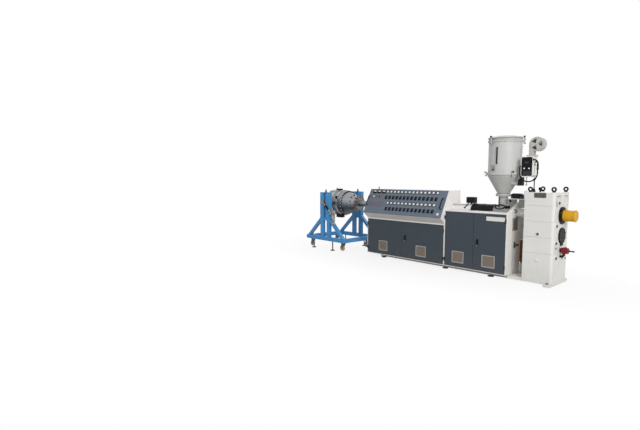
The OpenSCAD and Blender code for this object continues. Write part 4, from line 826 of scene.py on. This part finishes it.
PORT_Z, PORT_TURN = 1887.0, -107.5
LATCH_R, CLAMP_KNOB_R, CLAMP_PIN_R = 304.0, 297.3, 311.0
port_ring = lathe([(9, 3), (9, 9), (11, 12), (16, 12), (18, 9), (18, 3)], 24)
for name, shape, material in (
        ("plate", slab(96, 100, 5, 6), frame_grey), ("ring", put(port_ring, (15, 19, 0)), zinc_steel),
        ("knob", put(knob(13, 24), (16, -25, 4)), black_plastic),
        ("screws", put(cap_screw(5), [(x, y, 4.5) for x in (-40, 40) for y in (-42, 42)]), zinc_steel)):
    piece("port_" + name, wrap(shape, HOPPER_R, PORT_Z, PORT_TURN), material)
sight_border = border(38, 296, 6, [(0, 0), (0, 9), (1.5, 10.5), (5, 10.5), (6, 9), (6, 0)])
piece("sight_frame", wrap(sight_border, HOPPER_R, 2098, -92), frame_grey)
latch = join(slab(26, 92, 7, 5, 2), put(plate(16, 58, 6, [(0, 6), (0, 15), (3, 18)]), (0, -10, 0)))
latch_knob = put(knob(14, 20), (0, 30, 6))
for name, degrees in (("front", -40), ("left", 218)):
    piece("latch_" + name, wrap(latch, LATCH_R, CONE_TOP, degrees), zinc_steel)
    piece("latch_knob_" + name, wrap(latch_knob, LATCH_R, CONE_TOP, degrees), black_plastic)
rim = lathe([(282, -24), (287, -23), (289, -20), (289, 20), (287, 23), (282, 24), (282, -24)], 72)
fit("joint_rim", hopper_paint, rim, (HOPPER_X, 0, CONE_TOP))
piece("joint_bolts", join(*[put(hex_bolt(6), circle(18, 277, (HOPPER_X, 0, z), UP, 0.15), facing)
                            for z, facing in ((CONE_TOP + 22, UP), (CONE_TOP - 22, DOWN))]), zinc_steel)
clamp_turns = np.radians([25.0, 145.0, 244.0])
clamp_out = np.stack([np.cos(clamp_turns), np.sin(clamp_turns), np.zeros(3)], -1)
clamp_knob = lathe([(0, 28), (12, 28), (17, 24), (17.5, 18), (16, 12), (17.5, 6), (16, 1), (8, 0)], 18)
fit("clamp_knobs", black_plastic, clamp_knob, [HOPPER_X, 0, 2412] + CLAMP_KNOB_R * clamp_out)
piece("clamp_pins", join(*[put(knob(8, 9, 1.0), [HOPPER_X, 0, z] + CLAMP_PIN_R * out, out)
                           for z in (2312, 2380) for out in clamp_out]), dark_steel)
studs = put(knob(6, 9, 0.9), [(0, y, 0) for y in (-49, 0, 49)])
piece("hopper_studs", wrap(studs, HOPPER_R, 2211, 26), dark_steel)
seam = plate(5, 520, 2, [(0, 0), (0, 0.8), (1.5, 1.4)])
piece("hopper_seam", wrap(seam, HOPPER_R, 2073, 100), hopper_paint)

# Dryer

PANEL_Y = BOX_FRONT - 6
DRYER_LAMPS = [(155, PANEL_Y, 1873), (233, PANEL_Y, 1872)]
WINDOW = (193, PANEL_Y, 1971)
fit("dryer_panel_base", bezel_plastic, slab(138, 68, 3, 3), (202, PANEL_Y, 1797), FRONT)
fit("dryer_panel_window", bezel_plastic, slab(66, 40, 2.5, 3), WINDOW, FRONT)
window_border = border(76, 50, 4, [(0, 0), (0, 4), (1, 5), (4, 5), (5, 4), (5, 0)])
fit("dryer_panel_frame", black_plastic, window_border, WINDOW, FRONT)
fit("dryer_lamps", display_white, knob(11, 13, 0.9), DRYER_LAMPS, FRONT)
fit("dryer_lamp_rings", grey_plastic, collar(9, 16, 5, turns=20), DRYER_LAMPS, FRONT)
fit("dryer_panel_screws", zinc_steel, cap_screw(6), corners(193, 1904, 76, 145, PANEL_Y), FRONT)
fit("dryer_pale_knob", cream_plate, knob(15, 20, 0.9), (BOX_RIGHT, -88, 2035), RIGHT)
piece("dryer_black_knobs", join(
    put(knob(13, 22), (BOX_RIGHT, -93, 1975), RIGHT),
    put(collar(8, 16, 8, 3), (BOX_RIGHT, -88, 1933), RIGHT)), black_plastic)
piece("condensate_pipe", join(
    bar([(170, -100, 1734), (170, -100, 1600)], 9),
    put(lathe([(0, 0), (13, 0), (14, 2), (14, 16), (12, 18), (0, 18)], 18), (170, -100, 1592)),
    put(lathe([(0, 0), (14, 0), (14, 8), (0, 8)], 6), (170, -100, 1722))), zinc_steel)
WIRE = np.array([(-1.6, 0), (0, 1.6), (1.6, 0), (0, -1.6), (-1.6, 0)])
wire_rings = [lathe(WIRE + [radius, 0], 48) for radius in (38, 52, 66, 79)]
for name, shape, out, material in (
        ("dark", lathe([(0, 2), (86.6, 2), (86.6, 0), (0, 0)], 48), -16, black_paint),
        ("guard", join(*wire_rings), 3, zinc_steel),
        ("hub", lathe([(0, 7), (9, 7), (17, 4.5), (20, 0), (20, -3), (0, -3)], 28), 6, blower_paint)):
    fit("blower_" + name, material, shape, (BLOWER_X, BLOWER_FRONT - out, BLOWER_Z), FRONT)
piece("blower_screws", join(
    put(cap_screw(6), circle(6, 116, (BLOWER_X, BLOWER_FRONT, BLOWER_Z), FRONT, 0.3), FRONT),
    put(hex_bolt(8), [(x, y, 2090) for x in (184, 292) for y in (-134, -26)])), zinc_steel)
fit("boot_bands", zinc_steel, border(84, 68, 3, [(0, 0), (0, 9), (-2, 9), (-2, 0)]), (25, -80, 1621), RIGHT)

# Die and trolley

FLARE = math.atan2(DIE_R - NECK_R, NECK_LEFT - CONE_LEFT)
BAND_R, BAND_X, BAND_WIDTH = 314.0, (-4563.0, -4445.0, -4241.0), (92, 92, 46)
socket_degrees = np.arange(-135, 136, 15.0)
# Two rings of sockets on the die's cone: radius, x, degrees, socket and its insert
SOCKET_RINGS = (
    (272, -4106, socket_degrees, plate(46, 38, 4, [(0, -4), (0, 20), (3, 24)], 3),
     plate(28, 18, 2, [(0, 20), (0, 25), (1, 26)], 2)),
    (203, -3870, socket_degrees[::2], plate(36, 30, 3, [(0, -4), (0, 16), (2, 19)], 3),
     plate(20, 14, 2, [(0, 15), (0, 20), (1, 21)], 2)))
piece("die_sockets", join(
    *[round_screw(socket, degrees, radius, x, FLARE) for radius, x, degrees, socket, insert in SOCKET_RINGS]),
    black_plastic)
piece("die_socket_inserts", join(
    *[round_screw(insert, degrees, radius, x, FLARE) for radius, x, degrees, socket, insert in SOCKET_RINGS]),
    cream_plate)
neck_block = plate(36, 32, 3, [(0, -3), (0, 22), (2, 25)], 3)
for name, material, degrees in (("red", red_plastic, (-70, 10)), ("green", green_plastic, (-44, 36)),
                                ("brown", brown_paint, (-18, -96))):
    piece("neck_blocks_" + name, round_screw(neck_block, degrees, NECK_R, -3743), material)
band_clamps = [plate(30, width, 3, [(0, -3), (0, 16), (2, 19)], 3) for width in BAND_WIDTH]
piece("band_clamps", join(
    *[round_screw(clamp, (-28, 152), BAND_R, x) for x, clamp in zip(BAND_X, band_clamps)]), zinc_steel)
band_terminal = plate(64, 44, 5, [(0, -4), (0, 30), (4, 36)])
piece("band_terminals", join(
    *[round_screw(band_terminal, (-64, 64), BAND_R, x) for x in BAND_X]), black_paint)
# Bolt circles: thread, count, radius, x, start angle and the way the heads face
BOLT_CIRCLES = ((17, 8, 120, -3253, 0.39, RIGHT), (17, 8, 120, -3353, 0.39, LEFT),
                (16, 10, 150, -3723, 0.3, RIGHT), (18, 12, 253, -4688, 0.2, LEFT))
piece("joint_flange_bolts", join(*[
    put(hex_bolt(size), circle(n, radius, (x, 0, AXIS_Z), RIGHT, start), facing)
    for size, n, radius, x, start, facing in BOLT_CIRCLES]), dark_steel)

LINK_TOP, LINK_LOW = np.array([-4369.0, -621, 1162]), np.array([-4070.0, -625, 886])
fit("link_bracket", blue_paint, slab(200, 62, 12, 6, 1.5), (-4135, -600, 880), FRONT)
piece("link_rod", join(
    bar([LINK_TOP, LINK_LOW], 12), put(disc(30, 30, 4, 3), (-4369, -600, 1162), FRONT),
    put(disc(24, 24, 4, 3), (-4070, -612, 886), FRONT)), brass)
fit("link_sleeve", black_plastic, lathe([(0, -70), (15, -70), (19, -64), (19, 64), (15, 70), (0, 70)], 24),
    (LINK_TOP + LINK_LOW) / 2, LINK_LOW - LINK_TOP)
piece("link_post", join(
    put(slab(78, 330, 30, 16, 4), (-4020, -570, 800), FRONT),
    put(slab(96, 70, 13, 14, 3), (-4020, -598, 880), FRONT)), cast_paint)
fit("link_post_pins", black_plastic, hex_bolt(15), [(-4000, -611, 880), (-4020, -600, 700)], FRONT)
fit("die_under_box", black_paint, plate(190, 110, 8, [(0, -16), (0, 62), (4, 66)]), (-4296, -95, 826), DOWN)
fit("die_top_box", black_paint, plate(150, 70, 6, [(0, -16), (0, 30), (4, 34)]), (-4400, -20, 1430))
eye_turn = 2 * math.pi * (np.arange(17) % 16) / 16
piece("die_eye", join(
    put(lathe([(0, 12), (20, 12), (24, 8), (24, -14), (0, -14)], 24), (-4520, 0, 1434)),
    put(lathe(np.stack([18 + 6 * np.cos(eye_turn), 6 * np.sin(eye_turn)], -1), 28), (-4520, 0, 1464), FRONT)),
    dark_steel)
fit("trolley_bumpers", black_rubber, plate(72, 72, 10, [(0, 0), (0, 22), (6, 30)]),
    [(-4998.5, y, 265) for y in (-550, 550)], LEFT)
piece("trestle_bolts", join(*[
    put(hex_bolt(15), [(TROLLEY_X + x, y, z) for x in (-120, 120) for z in (830, 1320)], facing)
    for y, facing in ((-600, FRONT), (600, BACK))]), zinc_steel)
for k, x in enumerate((-4976.5, -4976.5, -3880.5, -3880.5), 1):
    low, high = [np.asarray(corner) * 1000 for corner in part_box("caster_fork_%d" % k)]
    piece("caster_nuts_%d" % k, join(
        put(hex_bolt(13), (x, low[1], 74), FRONT), put(hex_bolt(13), (x, high[1], 74), BACK)), zinc_steel,
        "caster_%d" % k)

# Backs of the cabinets: screwed panels

for name, left, length, count, width, height, z, screw_x, screw_z in (
        ("console", CONSOLE_LEFT, 1943, 3, 600, 1290, 785, 280, (625, 210)),
        ("cabinet", CONSOLE_RIGHT, 1180, 2, 550, 940, 605, 255, (450, 150))):
    panel_x = left + length * (np.arange(count) + 0.5) / count
    fit(name + "_backs", white_paint, slab(width, height, 3, 8), [(x, BACK_Y, z) for x in panel_x], BACK)
    places = np.concatenate([corners(x, z, screw_x, half, BACK_Y + 3) for x in panel_x for half in screw_z])
    fit(name + "_back_screws", zinc_steel, cap_screw(7), places, BACK)

# Floor, light and camera

WORLD_LIGHT = 0.52
FLOOR_HALF = 60.0           # metres
FLOOR_TONE = (0.6, 0.6, 0.6, 1)
SHADOW_SHARE = 0.16         # how much of the floor's own light and shade shows close to the machine
CAMERA_PLACE = (5.263, -7.273, 1.691)
CAMERA_YAW, CAMERA_PITCH = math.radians(49.044), math.radians(-4.84)
FOCAL_PIXELS, FRAME_PIXELS, SENSOR = 418.9, 640, 36.0


def backdrop_rays(tree):
    """1 for camera, glossy and transmission rays, which see the white backdrop, and 0 for the rest."""
    path = add(tree, "LightPath").outputs
    mirrored = maths(tree, "MAXIMUM", path["Is Glossy Ray"], path["Is Transmission Ray"])
    return maths(tree, "MAXIMUM", path["Is Camera Ray"], mirrored)


def stage_floor():
    """A wide flat floor: x, y on a grid at z = 0. Seen directly it goes to white away from the machine."""
    x, y = np.meshgrid([-FLOOR_HALF, FLOOR_HALF], [-FLOOR_HALF, FLOOR_HALF], indexing="ij")
    points = np.stack([x, y, np.zeros_like(x)], -1).reshape(-1, 3)
    mesh = bpy.data.meshes.new("floor")
    mesh.from_pydata(points.tolist(), [], [[0, 2, 3, 1]])
    floor = bpy.data.objects.new("floor", mesh)
    bpy.context.scene.collection.objects.link(floor)
    material = bpy.data.materials.new("studio_floor")
    material.use_nodes = True
    t = material.node_tree
    shader = t.nodes["Principled BSDF"]
    shader.inputs["Base Color"].default_value = FLOOR_TONE
    shader.inputs["Roughness"].default_value = 0.9
    shader.inputs["Specular IOR Level"].default_value = 0.1
    glow = add(t, "Emission", Color=(1, 1, 1, 1), Strength=1.0)
    stretched = maths(t, "MULTIPLY", object_place(t), (0.42, 1.0, 1.0), "VectorMath")
    far = add(t, "VectorMath", operation="LENGTH", Vector=stretched).outputs["Value"]
    away = maths(t, "MULTIPLY", ramp(t, far, 0.5, 2.0), SHADOW_SHARE)
    share = maths(t, "MULTIPLY", backdrop_rays(t), maths(t, "ADD", away, 1 - SHADOW_SHARE))
    blend = add(t, "MixShader")
    for index, value in enumerate((share, shader.outputs[0], glow.outputs[0])):
        feed(t, blend.inputs[index], value)
    feed(t, t.nodes["Material Output"].inputs["Surface"], blend.outputs[0])
    mesh.materials.append(material)


def studio_world():
    """A white backdrop for the rays that see it and a softer grey light for the rest."""
    world = bpy.data.worlds.new("studio")
    bpy.context.scene.world = world
    world.use_nodes = True
    t = world.node_tree
    back = t.nodes["Background"].inputs
    back["Color"].default_value = (1, 1, 1, 1)
    brighter = maths(t, "MULTIPLY", backdrop_rays(t), 1 - WORLD_LIGHT)
    feed(t, back["Strength"], maths(t, "ADD", brighter, WORLD_LIGHT))


def matrix_from(place, axes):
    """A 4 by 4 matrix from a place and three axes."""
    made = np.eye(4)
    made[:3, :3], made[:3, 3] = axes, place
    return Matrix(made.tolist())


def soft_light(name, place, target, power):
    """A square area lamp, 5 m wide, aimed from a place at a target."""
    lamp = bpy.data.lights.new(name, "AREA")
    lamp.size = 5.0
    lamp.energy = power
    obj = bpy.data.objects.new(name, lamp)
    bpy.context.scene.collection.objects.link(obj)
    obj.matrix_world = matrix_from(place, axes_to(np.subtract(place, target)))


def photo_camera():
    """The camera fitted to the photograph: its place, yaw and pitch, and its focal length in pixels."""
    c = math.cos(CAMERA_PITCH)
    view = np.array([-math.sin(CAMERA_YAW) * c, math.cos(CAMERA_YAW) * c, math.sin(CAMERA_PITCH)])
    right = np.array([math.cos(CAMERA_YAW), math.sin(CAMERA_YAW), 0.0])
    lens = bpy.data.cameras.new("camera")
    lens.sensor_fit = "HORIZONTAL"
    lens.sensor_width = SENSOR
    lens.lens = FOCAL_PIXELS / FRAME_PIXELS * SENSOR
    lens.clip_end = 200.0
    camera = bpy.data.objects.new("camera", lens)
    bpy.context.scene.collection.objects.link(camera)
    camera.matrix_world = matrix_from(CAMERA_PLACE, np.stack([right, np.cross(-view, right), -view], -1))
    bpy.context.scene.camera = camera


stage_floor()
studio_world()
soft_light("key_lamp", (9.5, -6.0, 5.5), (0.6, 0, 0.9), 720)
soft_light("front_lamp", (-2.5, -9.5, 5.0), (-1.0, 0, 0.9), 60)
soft_light("back_lamp", (-1.0, 6.5, 5.5), (0.0, 0, 1.0), 200)
photo_camera()
bpy.context.scene.view_settings.view_transform = "Standard"
